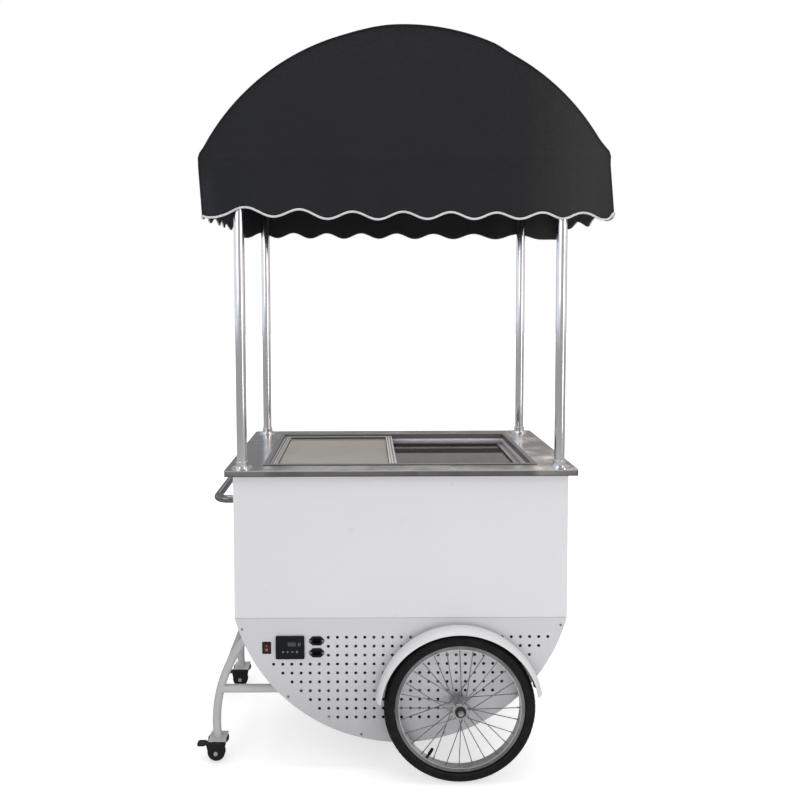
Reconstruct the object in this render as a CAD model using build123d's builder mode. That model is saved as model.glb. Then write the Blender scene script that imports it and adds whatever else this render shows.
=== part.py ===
"""Ice cream push cart.

A chest freezer with two sliding glass lids stands on two bicycle wheels and two swivel casters.
Four poles on its counter carry an arched canvas canopy with a wavy edge.

Millimetres, +Z up, the floor at Z 0. Customers stand on the -Y side, the push handle is on the -X end.
"""

import os
from math import asin, cos, pi, radians, sin, sqrt

from build123d import *

# Cabinet: an upright box above a seam, with a round-bottomed skirt below it
cabinet_length = 1087.0
cabinet_depth = 610.0
panel = 1.5
seam_z = 521.0
seam_gap = 1.0
skirt_bottom_z = 100.0
belly_flange = 30.0

# Vents in the skirt: straight rows, each row one pitch shorter at both ends than the row above
vent_diameter = 10.0
vent_pitch = 30.0
vent_rows = 10
vent_top_z = 456.0
vent_left_x = -508.0
vent_right_x = 482.0

# Skirt screws, evenly spaced along the round edge
screw_count = 6
screw_step = 28.7
screw_lead = 0.6
screw_inset = 12.0
screw_head = 8.0
screw_head_height = 2.0
screw_shank = 4.0
screw_clearance = 0.1

# Counter sheet, folded down round its edge
counter_end_overhang = 20.5
counter_side_overhang = 45.0
counter_top_z = 1020.0
counter_sheet = 1.5
counter_drop = 20.0
counter_corner = 8.0
opening_length = 874.0
opening_depth = 524.0

# Lid track in the counter opening, with one ledge for each lid
track_wall = 3.0
track_bottom_z = 962.0
track_flange = 12.0
track_flange_height = 2.5
track_fit = 0.5
ledge = 10.0
ledge_height = 3.0
upper_ledge_z = 1000.0
lower_ledge_z = 974.0

# Sliding lids: the left one on the upper ledges, the right one on the lower ledges
lid_thickness = 16.0
lid_stile = 27.0
lid_clearance = 0.5
lid_rest = 0.3
lid_meeting_x = -22.0
lid_overlap = 27.0
glass_thickness = 4.0
glass_hold = 6.0

# Freezer tub, its cooling coil and the foam round them
tub_length = 850.0
tub_depth = 500.0
tub_corner = 40.0
tub_floor_round = 20.0
tub_floor_z = 620.0
tub_wall = 1.5
coil_tube = 8.0
coil_seat = 0.3
coil_turns = 4
coil_rise = 64.0
coil_bottom_z = 650.0
coil_notch_x = 65.0
coil_notch_width = 90.0
coil_notch_depth = 11.0
pipe_hole = 20.0

# Welded frame under the cabinet
frame_tube = 30.0
frame_clearance = 3.0
leg_member_width = 60.0
right_member_x = 500.0
post_y = 240.0
post_foot = 20.0

# Bicycle wheels, 20 inch size
wheel_x = 187.0
tyre_skirt_gap = 25.0
tyre_diameter = 490.0
tyre_width = 44.0
tyre_wall = 4.0
tyre_web = 4.0
bead_thickness = 3.8
rim_diameter = 418.0
rim_width = 28.0
rim_depth = 13.0
rim_wall = 2.5
tube_radius = 13.0
tube_slack = 1.3
valve_diameter = 8.0
valve_inner_radius = 160.0
valve_spoke_space = 18.5
spoke_count = 28
spoke_diameter = 3.0
spoke_lead = 26.0
spoke_hub_radius = 24.0
spoke_head_gap = 1.2
spoke_end_gap = 0.5
nipple_diameter = 4.0
nipple_length = 12.0
hub_flange_diameter = 57.0
hub_flange_spacing = 54.0
hub_flange = 3.0
hub_barrel_diameter = 30.0
hub_neck_diameter = 18.0
hub_neck = 2.5
seal_diameter = 36.0
seal_gap = 0.05
wheel_fit = 0.3

# Fixed axle through both wheels
axle_diameter = 12.0
axle_overhang = 44.0
axle_fit = 0.05
axle_hole_diameter = 30.0
nut_diameter = 20.0
nut_height = 8.0

# Domed fenders
fender_clearance = 27.0
fender_dome = 16.0
fender_sheet = 2.0
fender_side_gap = 4.0
fender_flange = 7.0
fender_drop = 6.0
fender_right_angle = 11.3
fender_left_angle = 174.2

# Caster legs: one round bend from the foot plate to the frame
leg_diameter = 28.0
leg_bend_radius = 460.0
leg_outer_x = -621.0
leg_outer_z = 135.0
leg_y = 240.0
leg_hole_gap = 2.0
brace_diameter = 27.0
brace_z = 250.0
cross_bar_diameter = 25.0
cross_bar_z = 318.0

# Swivel casters with a double brake pedal
caster_x = -616.0
caster_height = 80.0
foot_plate = 58.0
foot_plate_thickness = 4.0
swivel_gap = 0.3
kingpin_diameter = 10.0
crown_diameter = 70.0
crown_height = 7.0
fork_head_width = 52.0
caster_trail = 8.0
caster_wheel_diameter = 60.0
caster_wheel_width = 20.0
caster_wheel_round = 4.0
fork_plate = 3.0
fork_gap = 1.5
fork_tip_radius = 25.0
bolt_diameter = 8.0
bolt_head = 14.0
bolt_head_height = 3.0
bolt_gap = 0.05
pedal_pivot_x = -32.0
pedal_pivot_z = 58.0
pedal_pin_diameter = 5.0
pedal_barrel_diameter = 10.0
pedal_ear_radius = 8.0
pedal_length = 72.0
pedal_paddle = 26.0
pedal_width = 30.0
pedal_round = 8.0
pedal_thickness = 5.0
pedal_side_gap = 0.6

# Push handle on the left end
handle_tube = 26.0
handle_z = 898.0
handle_reach = 70.0
handle_half_width = 235.0
handle_bend = 42.0
handle_flange = 52.0
handle_flange_thickness = 3.0

# Canopy poles and frame
pole_diameter = 33.0
pole_wall = 1.5
pole_end_inset = 31.5
pole_canopy_inset = 22.0
pole_flange = 68.0
pole_flange_thickness = 3.0
pole_collar = 40.0
pole_collar_height = 22.0
pole_fit = 0.1
rail_tube = 25.0
bow_depth = 20.0
purlin_diameter = 16.0
purlin_angle = 38.0
rail_gap = 0.3

# Canvas canopy
canopy_length = 1280.0
canopy_offset = 8.0
canopy_depth = 660.0
canopy_spring_z = 2002.0
canopy_rise = 400.0
cloth = 2.0
cloth_gap = 0.3
wave_mid_z = 1828.0
wave_height = 25.0
front_first_crest = 126.0
front_first_pitch = 180.0
front_pitch_loss = 4.0
front_wave_points = 36
side_waves = 4
side_wave_points = 16
piping_height = 8.0
piping_thickness = 6.0

# Switch, controller and power inlets on the front skirt
switch_x = -440.0
switch_z = 422.0
switch_width = 29.0
switch_height = 40.0
switch_bezel = 2.0
switch_body_width = 22.2
switch_body_height = 33.6
switch_body_depth = 25.0
switch_wall = 1.3
rocker_gap = 0.2
rocker_end_gap = 0.4
rocker_pivot_depth = 2.0
rocker_rise = 6.5
rocker_valley = 3.5
rocker_back = 6.0
rocker_tilt = 8.0
rocker_pin = 3.0
rocker_pin_length = 1.0
cutout_gap = 0.2

controller_x = -363.0
controller_z = 424.0
controller_width = 94.0
controller_height = 76.0
controller_bezel = 7.0
controller_corner = 4.0
controller_body_width = 84.0
controller_body_height = 66.0
controller_body_depth = 45.0
display_x = 6.0
display_z = 12.0
display_width = 26.0
display_height = 13.0
display_thickness = 1.5
key_count = 4
key_diameter = 8.0
key_pitch = 15.3
key_first_x = -23.0
key_z = -13.0
key_height = 3.8
key_proud = 0.8
key_pocket = 4.0
key_gap = 0.2

inlet_x = -276.0
inlet_z = (445.0, 405.0)
inlet_width = 49.0
inlet_height = 30.0
inlet_ear = 8.0
inlet_shoulder = 26.0
inlet_flange = 3.0
inlet_body_width = 27.0
inlet_body_height = 20.0
inlet_body_depth = 22.0
inlet_socket_width = 24.0
inlet_socket_height = 16.5
inlet_socket_depth = 16.0
inlet_corner = 3.0
inlet_screw_spacing = 40.0
inlet_pin_width = 2.0
inlet_pin_height = 4.0
inlet_pin_pitch = 7.0
inlet_pin_length = 13.0

# Cooling machinery on a tray inside the skirt
tray_thickness = 2.5
tray_left_x = -330.0
tray_right_x = 150.0
tray_depth = 510.0
tray_gap = 0.2
compressor_x = -190.0
compressor_y = 60.0
compressor_diameter = 140.0
compressor_height = 170.0
compressor_foot = 14.0
compressor_foot_spread = 150.0
compressor_foot_depth = 46.0
compressor_plate = 7.0
compressor_plate_depth = 70.0
compressor_round = 23.0
condenser_x = 40.0
condenser_thickness = 50.0
condenser_width = 300.0
condenser_height = 195.0
condenser_fins = 20
condenser_fin = 1.0
condenser_side = 3.0
condenser_tube = 9.0
shroud_thickness = 4.0
fan_diameter = 170.0
fan_gap = 7.0
fan_hub_diameter = 28.0
fan_hub_length = 22.0
fan_blades = 4
fan_blade_width = 34.0
fan_blade_sheet = 2.0
fan_pitch_angle = 28.0
fan_shaft = 6.0
fan_shaft_fit = 0.05
motor_diameter = 64.0
motor_length = 55.0
motor_gap = 5.0
motor_bracket = 24.0
motor_bracket_width = 50.0
discharge_tube = 8.0
discharge_offset = 30.0
discharge_z = 476.0
pipe_bend = 10.0
liquid_line_y = 100.0
pipe_end_gap = 0.3

# Sizes that follow from the driving dimensions
half_length = cabinet_length / 2
half_depth = cabinet_depth / 2
inner_half_depth = half_depth - panel
counter_length = cabinet_length + 2 * counter_end_overhang
counter_depth = cabinet_depth + 2 * counter_side_overhang
panel_top_z = counter_top_z - counter_sheet
panel_bottom_z = seam_z + seam_gap / 2
skirt_top_z = seam_z - seam_gap / 2
skirt_sag = skirt_top_z - skirt_bottom_z
skirt_radius = (half_length**2 + skirt_sag**2) / (2 * skirt_sag)
skirt_centre_z = skirt_bottom_z + skirt_radius
wheel_y = half_depth + tyre_skirt_gap + tyre_width / 2
axle_length = 2 * (wheel_y + axle_overhang)
wheel_z = tyre_diameter / 2
fender_radius = tyre_diameter / 2 + fender_clearance
fender_z = wheel_z - fender_drop
fender_front_y = wheel_y + tyre_width / 2 + fender_side_gap
fender_back_y = half_depth + fender_flange
fender_crown_y = (fender_front_y + fender_back_y) / 2
axle_radius = axle_diameter / 2
valve_angle = valve_spoke_space * 360 / spoke_count
canopy_half = canopy_length / 2
canopy_half_depth = canopy_depth / 2
pole_x = half_length - pole_end_inset
pole_y = canopy_half_depth - pole_canopy_inset
canopy_radius = (canopy_half**2 + canopy_rise**2) / (2 * canopy_rise)
canopy_centre_z = canopy_spring_z + canopy_rise - canopy_radius
caster_wheel_x = caster_x - caster_trail
caster_wheel_z = caster_wheel_diameter / 2
leg_centre_x = leg_outer_x + leg_bend_radius
frame_bottom_z = seam_z - frame_tube
frame_half_depth = inner_half_depth - panel

# The origin is under the middle of the whole outline, and the cabinet stands beside it
outline_left = caster_x - pedal_length
outline_right = canopy_offset + canopy_half + (piping_thickness - cloth) / 2
cabinet_x = -(outline_left + outline_right) / 2
canopy_x = cabinet_x + canopy_offset


def level(z, middle_x=cabinet_x):
    """Level plane at height z, centred on the cabinet or on another x."""
    return Plane((middle_x, 0, z))


def upright(y, middle_x=cabinet_x):
    """Upright plane at depth y that faces the front: local x is along the cabinet, local y is height."""
    return Plane((middle_x, y, 0), x_dir=(1, 0, 0), z_dir=(0, -1, 0))


def crosswise(x, middle_x=cabinet_x):
    """Upright plane across the cabinet at x: local x runs to the back, local y is height."""
    return Plane((middle_x + x, 0, 0), x_dir=(0, 1, 0), z_dir=(1, 0, 0))


def leg_point(z):
    """x of the caster legs' centre line at height z."""
    return leg_centre_x - sqrt(leg_bend_radius**2 - (z - leg_outer_z) ** 2)


# Upright panels of the cabinet
panel_height = panel_top_z - panel_bottom_z
panel_mid_z = (panel_top_z + panel_bottom_z) / 2

with BuildPart() as front_panel:
    with BuildSketch(upright(-inner_half_depth)):
        with Locations((0, panel_mid_z)):
            Rectangle(cabinet_length, panel_height)
    extrude(amount=panel)

with BuildPart() as back_panel:
    with BuildSketch(upright(half_depth)):
        with Locations((0, panel_mid_z)):
            Rectangle(cabinet_length, panel_height)
    extrude(amount=panel)

with BuildPart() as end_panels:
    for side in (-1, 1):
        with BuildSketch(crosswise(side * (half_length - panel))):
            with Locations((0, panel_mid_z)):
                Rectangle(2 * inner_half_depth, panel_height)
        extrude(amount=side * panel)

# Cooling coil route: from the compressor up under the tub, round it, and down the back to the condenser
tray_bottom_z = brace_z + brace_diameter / 2 + tray_gap
tray_top_z = tray_bottom_z + tray_thickness
compressor_top_z = tray_top_z + compressor_foot + compressor_height
condenser_top_z = tray_top_z + condenser_height
coil_x = tub_length / 2 + tub_wall + coil_seat + coil_tube / 2
coil_y = tub_depth / 2 + tub_wall + coil_seat + coil_tube / 2
under_tub_z = tub_floor_z - tub_wall - coil_seat - coil_tube / 2
suction_x = compressor_x - discharge_offset
notch_y = opening_depth / 2 + coil_notch_depth / 2
coil_corners = ((1, -1), (1, 1), (-1, 1), (-1, -1))
quarter_rise = coil_rise / len(coil_corners)
coil_points = [
    (suction_x, compressor_y, compressor_top_z + pipe_end_gap),
    (suction_x, compressor_y, under_tub_z),
    (suction_x, -coil_y, under_tub_z),
    (suction_x, -coil_y, coil_bottom_z),
]
coil_bends = [pipe_bend, pipe_bend, pipe_bend]
for quarter in range(4 * coil_turns + 2):
    corner_x, corner_y = coil_corners[quarter % 4]
    corner_z = coil_bottom_z + (quarter + 1) * quarter_rise
    coil_points.append((corner_x * coil_x, corner_y * coil_y, corner_z))
    coil_bends.append(tub_corner)
coil_top_z = coil_points[-1][2] + quarter_rise
coil_points += [
    (coil_notch_x + 3 * pipe_bend, coil_y, coil_top_z),
    (coil_notch_x, notch_y, coil_top_z),
    (coil_notch_x, notch_y, discharge_z),
    (coil_notch_x, liquid_line_y, discharge_z),
    (coil_notch_x, liquid_line_y, condenser_top_z + pipe_end_gap),
]
coil_bends += [pipe_bend / 2, pipe_bend / 2, pipe_bend, pipe_bend]


def swept_tube(points, bends, diameter):
    """Round tube along straight runs joined by arcs, placed from the cabinet's centre."""
    placed = [(cabinet_x + x, y, z) for x, y, z in points]
    with BuildPart() as tube:
        with BuildLine() as path:
            FilletPolyline(*placed, radius=bends)
        with BuildSketch(Plane(origin=path.line @ 0, z_dir=path.line % 0)):
            Circle(diameter / 2)
        sweep()
    return tube


evaporator_coil = swept_tube(coil_points, coil_bends, coil_tube)

with BuildPart() as cabinet_floor:
    with BuildSketch(level(seam_z)):
        Rectangle(cabinet_length - 2 * panel, 2 * inner_half_depth)
        with Locations((suction_x, compressor_y), (coil_notch_x, notch_y)):
            Circle(pipe_hole / 2, mode=Mode.SUBTRACT)
    extrude(amount=panel)

# Freezer tub with a rim that hangs under the lid track
with BuildPart() as tub_space:
    with BuildSketch(level(tub_floor_z)):
        RectangleRounded(tub_length, tub_depth, tub_corner)
    extrude(amount=track_bottom_z - tub_floor_z)
    fillet(tub_space.edges().group_by(Axis.Z)[0], tub_floor_round)

with BuildPart() as freezer_liner:
    with BuildSketch(level(tub_floor_z - tub_wall)):
        RectangleRounded(tub_length + 2 * tub_wall, tub_depth + 2 * tub_wall, tub_corner + tub_wall)
    extrude(amount=track_bottom_z - tub_floor_z + tub_wall)
    fillet(freezer_liner.edges().group_by(Axis.Z)[0], tub_floor_round + tub_wall)
    with BuildSketch(level(track_bottom_z - tub_wall)):
        Rectangle(opening_length - 2 * track_fit, opening_depth - 2 * track_fit)
    extrude(amount=tub_wall)
    add(tub_space.part, mode=Mode.SUBTRACT)

foam_bottom_z = seam_z + panel
pocket_z = under_tub_z - coil_tube / 2 - coil_seat
with BuildPart() as insulation:
    with BuildSketch(level(foam_bottom_z)):
        Rectangle(cabinet_length - 2 * panel, 2 * inner_half_depth)
    extrude(amount=panel_top_z - foam_bottom_z)
    with BuildSketch(level(pocket_z)):
        Rectangle(opening_length, opening_depth)
    extrude(amount=panel_top_z - pocket_z, mode=Mode.SUBTRACT)
    with BuildSketch(level(foam_bottom_z)):
        with Locations((suction_x, compressor_y)):
            Circle(pipe_hole / 2)
        with Locations((coil_notch_x, opening_depth / 2)):
            Rectangle(coil_notch_width, 2 * coil_notch_depth)
    extrude(amount=coil_top_z + coil_tube - foam_bottom_z, mode=Mode.SUBTRACT)

with BuildPart() as countertop:
    with BuildSketch(level(counter_top_z - counter_drop)):
        RectangleRounded(counter_length, counter_depth, counter_corner)
    extrude(amount=counter_drop)
    with BuildSketch(level(counter_top_z - counter_drop)):
        RectangleRounded(
            counter_length - 2 * counter_sheet,
            counter_depth - 2 * counter_sheet,
            counter_corner - counter_sheet,
        )
    extrude(amount=counter_drop - counter_sheet, mode=Mode.SUBTRACT)
    with BuildSketch(level(counter_top_z - counter_sheet)):
        Rectangle(opening_length, opening_depth)
    extrude(amount=counter_sheet, mode=Mode.SUBTRACT)

# Lid track: a wall round the opening, a flange on the counter and two ledges on each long side
track_length = opening_length - 2 * track_fit
track_depth = opening_depth - 2 * track_fit
track_inner_length = track_length - 2 * track_wall
track_inner_depth = track_depth - 2 * track_wall

with BuildPart() as lid_track:
    with BuildSketch(level(track_bottom_z)):
        Rectangle(track_length, track_depth)
        Rectangle(track_inner_length, track_inner_depth, mode=Mode.SUBTRACT)
    extrude(amount=counter_top_z - track_bottom_z)
    with BuildSketch(level(counter_top_z)):
        Rectangle(opening_length + 2 * track_flange, opening_depth + 2 * track_flange)
        Rectangle(track_inner_length, track_inner_depth, mode=Mode.SUBTRACT)
    extrude(amount=track_flange_height)
    for ledge_z in (lower_ledge_z, upper_ledge_z):
        with BuildSketch(level(ledge_z - ledge_height)):
            with GridLocations(0, track_inner_depth - ledge, 1, 2):
                Rectangle(track_inner_length, ledge)
        extrude(amount=ledge_height)


def lid_pieces(left_x, right_x, z):
    """Frame and glass of one sliding lid between two ends, resting at height z."""
    length = right_x - left_x
    depth = track_inner_depth - 2 * lid_clearance
    window = (length - 2 * lid_stile, depth - 2 * lid_stile)
    pane = (window[0] + 2 * glass_hold, window[1] + 2 * glass_hold)
    middle = ((left_x + right_x) / 2, 0)
    glass_z = z + (lid_thickness - glass_thickness) / 2
    with BuildPart() as frame:
        with BuildSketch(level(z)):
            with Locations(middle):
                Rectangle(length, depth)
                Rectangle(*window, mode=Mode.SUBTRACT)
        extrude(amount=lid_thickness)
        with BuildSketch(level(glass_z)):
            with Locations(middle):
                Rectangle(*pane)
        extrude(amount=glass_thickness, mode=Mode.SUBTRACT)
    with BuildPart() as glass:
        with BuildSketch(level(glass_z)):
            with Locations(middle):
                Rectangle(*pane)
        extrude(amount=glass_thickness)
    return frame, glass


lid_end_x = track_inner_length / 2 - lid_clearance
left_lid_frame, left_lid_glass = lid_pieces(
    -lid_end_x, lid_meeting_x + lid_overlap / 2, upper_ledge_z + lid_rest
)
right_lid_frame, right_lid_glass = lid_pieces(
    lid_meeting_x - lid_overlap / 2, lid_end_x, lower_ledge_z + lid_rest
)

# Welded frame with the axle posts
frame_half = sqrt((skirt_radius - panel) ** 2 - (skirt_centre_z - frame_bottom_z) ** 2) - frame_clearance
leg_top_x = leg_point(frame_bottom_z)
post_bottom_z = wheel_z - post_foot

with BuildPart() as base_frame:
    with BuildSketch(level(frame_bottom_z)):
        with GridLocations(0, 2 * frame_half_depth - frame_tube, 1, 2):
            Rectangle(2 * frame_half, frame_tube)
        with Locations((leg_top_x, 0)):
            Rectangle(leg_member_width, 2 * frame_half_depth)
        with Locations((wheel_x, 0), (right_member_x, 0)):
            Rectangle(frame_tube, 2 * frame_half_depth)
    extrude(amount=frame_tube)
    with BuildSketch(level(post_bottom_z)):
        with Locations((wheel_x, -post_y), (wheel_x, post_y)):
            Rectangle(frame_tube, frame_tube)
    extrude(amount=frame_bottom_z - post_bottom_z)
    with BuildSketch(upright(0)):
        with Locations((wheel_x, wheel_z)):
            Circle(axle_radius + axle_fit)
    extrude(amount=half_depth, both=True, mode=Mode.SUBTRACT)

# Caster legs with their foot plates
foot_top_z = caster_height + foot_plate_thickness
leg_margin = 6.0


def leg_tube(diameter):
    """Both leg bends as plain tubes that run a little past their ends."""
    low = asin((foot_top_z - leg_outer_z) / leg_bend_radius) * 180 / pi - leg_margin
    high = asin((frame_bottom_z - leg_outer_z) / leg_bend_radius) * 180 / pi + leg_margin
    with BuildPart() as tube:
        for side in (-1, 1):
            with BuildLine(upright(side * leg_y)) as bend:
                CenterArc((leg_centre_x, leg_outer_z), leg_bend_radius, 180 - low, low - high)
            with BuildSketch(Plane(origin=bend.line @ 0, z_dir=bend.line % 0)):
                Circle(diameter / 2)
            sweep(path=bend.line)
    return tube


leg_clearance = leg_tube(leg_diameter + 2 * leg_hole_gap)
leg_bends = leg_tube(leg_diameter)

with BuildPart() as caster_legs:
    add(leg_bends.part)
    split(bisect_by=Plane.XY.offset(frame_bottom_z), keep=Keep.BOTTOM)
    split(bisect_by=Plane.XY.offset(foot_top_z), keep=Keep.TOP)
    with BuildSketch(level(caster_height)):
        with Locations((caster_x, -leg_y), (caster_x, leg_y)):
            Rectangle(foot_plate, foot_plate)
            Circle(kingpin_diameter / 2 + axle_fit, mode=Mode.SUBTRACT)
    extrude(amount=foot_plate_thickness)

brace_left_x = leg_point(brace_z)
brace_right_x = wheel_x - frame_tube / 2
with BuildPart() as leg_braces:
    with BuildSketch(crosswise(brace_left_x)):
        with Locations((-leg_y, brace_z), (leg_y, brace_z)):
            Circle(brace_diameter / 2)
    extrude(amount=brace_right_x - brace_left_x)
    with BuildSketch(upright(leg_y)):
        with Locations((leg_point(cross_bar_z), cross_bar_z)):
            Circle(cross_bar_diameter / 2)
    extrude(amount=2 * leg_y)
    add(leg_bends.part, mode=Mode.SUBTRACT)


def below_seam():
    """Cuts the current sketch off level at the top of the skirt."""
    with Locations((0, skirt_top_z)):
        Rectangle(2 * cabinet_length, 2 * skirt_sag, align=(Align.CENTER, Align.MAX), mode=Mode.INTERSECT)


def arc_band(outer, inner, centre, start, span):
    """Face of a ring sector, drawn in the current sketch."""
    with BuildLine() as outline:
        far = CenterArc(centre, outer, start, span)
        near = CenterArc(centre, inner, start, span)
        Line(far @ 0, near @ 0)
        Line(far @ 1, near @ 1)
    make_face(outline.edges())


# Belly sheet along the round edge, with a screw flange behind each skirt
skirt_centre = (0, skirt_centre_z)
belly_half_angle = asin(half_length / skirt_radius) * 180 / pi
belly_start = 270 - belly_half_angle
belly_span = 2 * belly_half_angle
screw_middle = 270 + screw_lead
screw_angles = [screw_middle + screw_step * (i - (screw_count - 1) / 2) for i in range(screw_count)]
screw_ring = skirt_radius - screw_inset
screw_places = [
    (screw_ring * cos(radians(a)), skirt_centre_z + screw_ring * sin(radians(a))) for a in screw_angles
]
screw_hole = screw_shank / 2 + screw_clearance

with BuildPart() as belly_panel:
    with BuildSketch(upright(inner_half_depth)):
        arc_band(skirt_radius, skirt_radius - panel, skirt_centre, belly_start, belly_span)
        below_seam()
    extrude(amount=2 * inner_half_depth)
    for flange_y in (-frame_half_depth, inner_half_depth):
        with BuildSketch(upright(flange_y)):
            arc_band(skirt_radius, skirt_radius - belly_flange, skirt_centre, belly_start, belly_span)
            below_seam()
            with Locations(*screw_places):
                Circle(screw_hole, mode=Mode.SUBTRACT)
        extrude(amount=panel)
    add(leg_clearance.part, mode=Mode.SUBTRACT)
    with BuildSketch(crosswise(brace_left_x)):
        with Locations((-leg_y, brace_z), (leg_y, brace_z)):
            Circle(brace_diameter / 2 + leg_hole_gap)
    extrude(amount=-brace_left_x, mode=Mode.SUBTRACT)


def vent_places(beside_controls):
    """Centres of the vent holes, clear of the axle and, where asked, of the controls."""
    places = []
    control_edge = inlet_x + inlet_width / 2
    control_bottom = controller_z - controller_height / 2
    for row in range(vent_rows):
        z = vent_top_z - row * vent_pitch
        left = vent_left_x + row * vent_pitch
        count = round((vent_right_x - vent_left_x) / vent_pitch) + 1 - 2 * row
        for i in range(count):
            x = left + i * vent_pitch
            at_controls = x < control_edge and z > control_bottom
            at_axle = x > wheel_x - 2 * vent_pitch and z < wheel_z + vent_pitch / 2
            if at_axle or (beside_controls and at_controls):
                continue
            places.append((x, z))
    return places


def skirt_face(beside_controls):
    """Round-bottomed skirt with its vents, axle hole and screw holes, drawn in the current sketch."""
    with BuildLine() as outline:
        edge = CenterArc(skirt_centre, skirt_radius, belly_start, belly_span)
        Line(edge @ 1, edge @ 0)
    make_face(outline.edges())
    with Locations(*vent_places(beside_controls)):
        Circle(vent_diameter / 2, mode=Mode.SUBTRACT)
    with Locations(*screw_places):
        Circle(screw_hole, mode=Mode.SUBTRACT)
    with Locations((wheel_x, wheel_z)):
        Circle(axle_hole_diameter / 2, mode=Mode.SUBTRACT)


inlet_places = [(inlet_x, z) for z in inlet_z]
with BuildPart() as front_skirt:
    with BuildSketch(upright(-inner_half_depth)):
        skirt_face(beside_controls=True)
        with Locations((switch_x, switch_z)):
            Rectangle(
                switch_body_width + 2 * cutout_gap,
                switch_body_height + 2 * cutout_gap,
                mode=Mode.SUBTRACT,
            )
        with Locations((controller_x, controller_z)):
            Rectangle(
                controller_body_width + 2 * cutout_gap,
                controller_body_height + 2 * cutout_gap,
                mode=Mode.SUBTRACT,
            )
        with Locations(*inlet_places):
            Rectangle(
                inlet_body_width + 2 * cutout_gap,
                inlet_body_height + 2 * cutout_gap,
                mode=Mode.SUBTRACT,
            )
    extrude(amount=panel)

with BuildPart() as back_skirt:
    with BuildSketch(upright(half_depth)):
        skirt_face(beside_controls=False)
    extrude(amount=panel)

# Screws of both skirts, and the screws in the ears of the power inlets
inlet_screws = [
    (x + ear * inlet_screw_spacing / 2, z) for x, z in inlet_places for ear in (-1, 1)
]
with BuildPart() as panel_screws:
    for side in (-1, 1):
        head_base = upright(side * half_depth)
        with BuildSketch(head_base):
            with Locations(*screw_places):
                Circle(screw_head / 2)
        extrude(amount=-side * screw_head_height)
        with BuildSketch(head_base):
            with Locations(*screw_places):
                Circle(screw_shank / 2)
        extrude(amount=side * 2 * panel)
    with BuildSketch(upright(-half_depth - inlet_flange)):
        with Locations(*inlet_screws):
            Circle(screw_head / 2)
    extrude(amount=screw_head_height)

# Domed fenders over the wheels, each with a flange welded to its skirt
fender_half = (fender_front_y - fender_back_y) / 2
dome_radius = (fender_half**2 + fender_dome**2) / (2 * fender_dome)
dome_angle = asin(fender_half / dome_radius) * 180 / pi
flange_radius = fender_radius - fender_dome - fender_sheet / 2
flange_width = fender_flange + fender_sheet / 2
fender_start = radians(fender_right_angle)
fender_section = Plane(
    (cabinet_x + wheel_x, 0, fender_z),
    x_dir=(cos(fender_start), 0, sin(fender_start)),
    z_dir=(-sin(fender_start), 0, cos(fender_start)),
)

with BuildPart() as fenders:
    with BuildSketch(fender_section):
        for side in (-1, 1):
            dome_centre = (fender_radius - dome_radius, side * fender_crown_y)
            arc_band(dome_radius, dome_radius - fender_sheet, dome_centre, -dome_angle, 2 * dome_angle)
            with Locations((flange_radius, side * (half_depth + flange_width / 2))):
                Rectangle(fender_sheet, flange_width)
    revolve(
        axis=Axis((cabinet_x + wheel_x, 0, fender_z), (0, -1, 0)),
        revolution_arc=fender_left_angle - fender_right_angle,
    )

# Wheels
hub_half = hub_flange_spacing / 2 + hub_flange / 2 + hub_neck
tyre_mid_radius = tyre_diameter / 2 - tyre_width / 2
rim_radius = rim_diameter / 2
rim_base_radius = rim_radius - rim_depth
bead_half = rim_width / 2 - rim_wall - wheel_fit
bead_inner = bead_half - bead_thickness
bead_radius = rim_base_radius + rim_wall + wheel_fit
web = tyre_width / 2 - tyre_wall - bead_inner
tube_mid_radius = tyre_diameter / 2 - tyre_wall - tube_slack - tube_radius


def wheel_section(side):
    """Section plane of a wheel: local x points outwards along the axle, local y is the radius."""
    return Plane((cabinet_x + wheel_x, side * wheel_y, wheel_z), x_dir=(0, side, 0), z_dir=(side, 0, 0))


def wheel_axis(side):
    return Axis((cabinet_x + wheel_x, side * wheel_y, wheel_z), (0, 1, 0))


def wheel_point(side, out, radius, angle):
    """Point of a wheel from its offset along the axle, its radius and its angle seen from the front."""
    x = cabinet_x + wheel_x + radius * cos(radians(angle))
    z = wheel_z + radius * sin(radians(angle))
    return Vector(x, side * (wheel_y + out), z)


def build_tyre(side):
    """Tyre with open beads, and the inner tube with its valve stem inside it."""
    with BuildPart() as tyre:
        with BuildSketch(wheel_section(side)):
            with Locations((0, tyre_mid_radius)):
                Circle(tyre_width / 2)
                Circle(tyre_width / 2 - tyre_wall, mode=Mode.SUBTRACT)
            with Locations((0, rim_radius + wheel_fit)):
                Rectangle(2 * tyre_width, tyre_width, align=(Align.CENTER, Align.MAX), mode=Mode.SUBTRACT)
            for hand in (-1, 1):
                with Locations((hand * (bead_inner + web / 2), rim_radius + wheel_fit)):
                    Rectangle(web, tyre_web, align=(Align.CENTER, Align.MIN))
                with Locations((hand * (bead_inner + bead_half) / 2, bead_radius)):
                    Rectangle(bead_half - bead_inner, rim_depth, align=(Align.CENTER, Align.MIN))
        revolve(axis=wheel_axis(side))
    with BuildPart() as inner_tube:
        with BuildSketch(wheel_section(side)):
            with Locations((0, tube_mid_radius)):
                Circle(tube_radius)
        revolve(axis=wheel_axis(side))
        stem_start = wheel_point(side, 0, tube_mid_radius, valve_angle)
        stem_end = wheel_point(side, 0, valve_inner_radius, valve_angle)
        with BuildSketch(Plane(origin=stem_end, z_dir=stem_start - stem_end)):
            Circle(valve_diameter / 2)
        extrude(amount=tube_mid_radius - valve_inner_radius)
    with BuildPart() as both:
        add(tyre.part)
        add(inner_tube.part)
    return both


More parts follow.
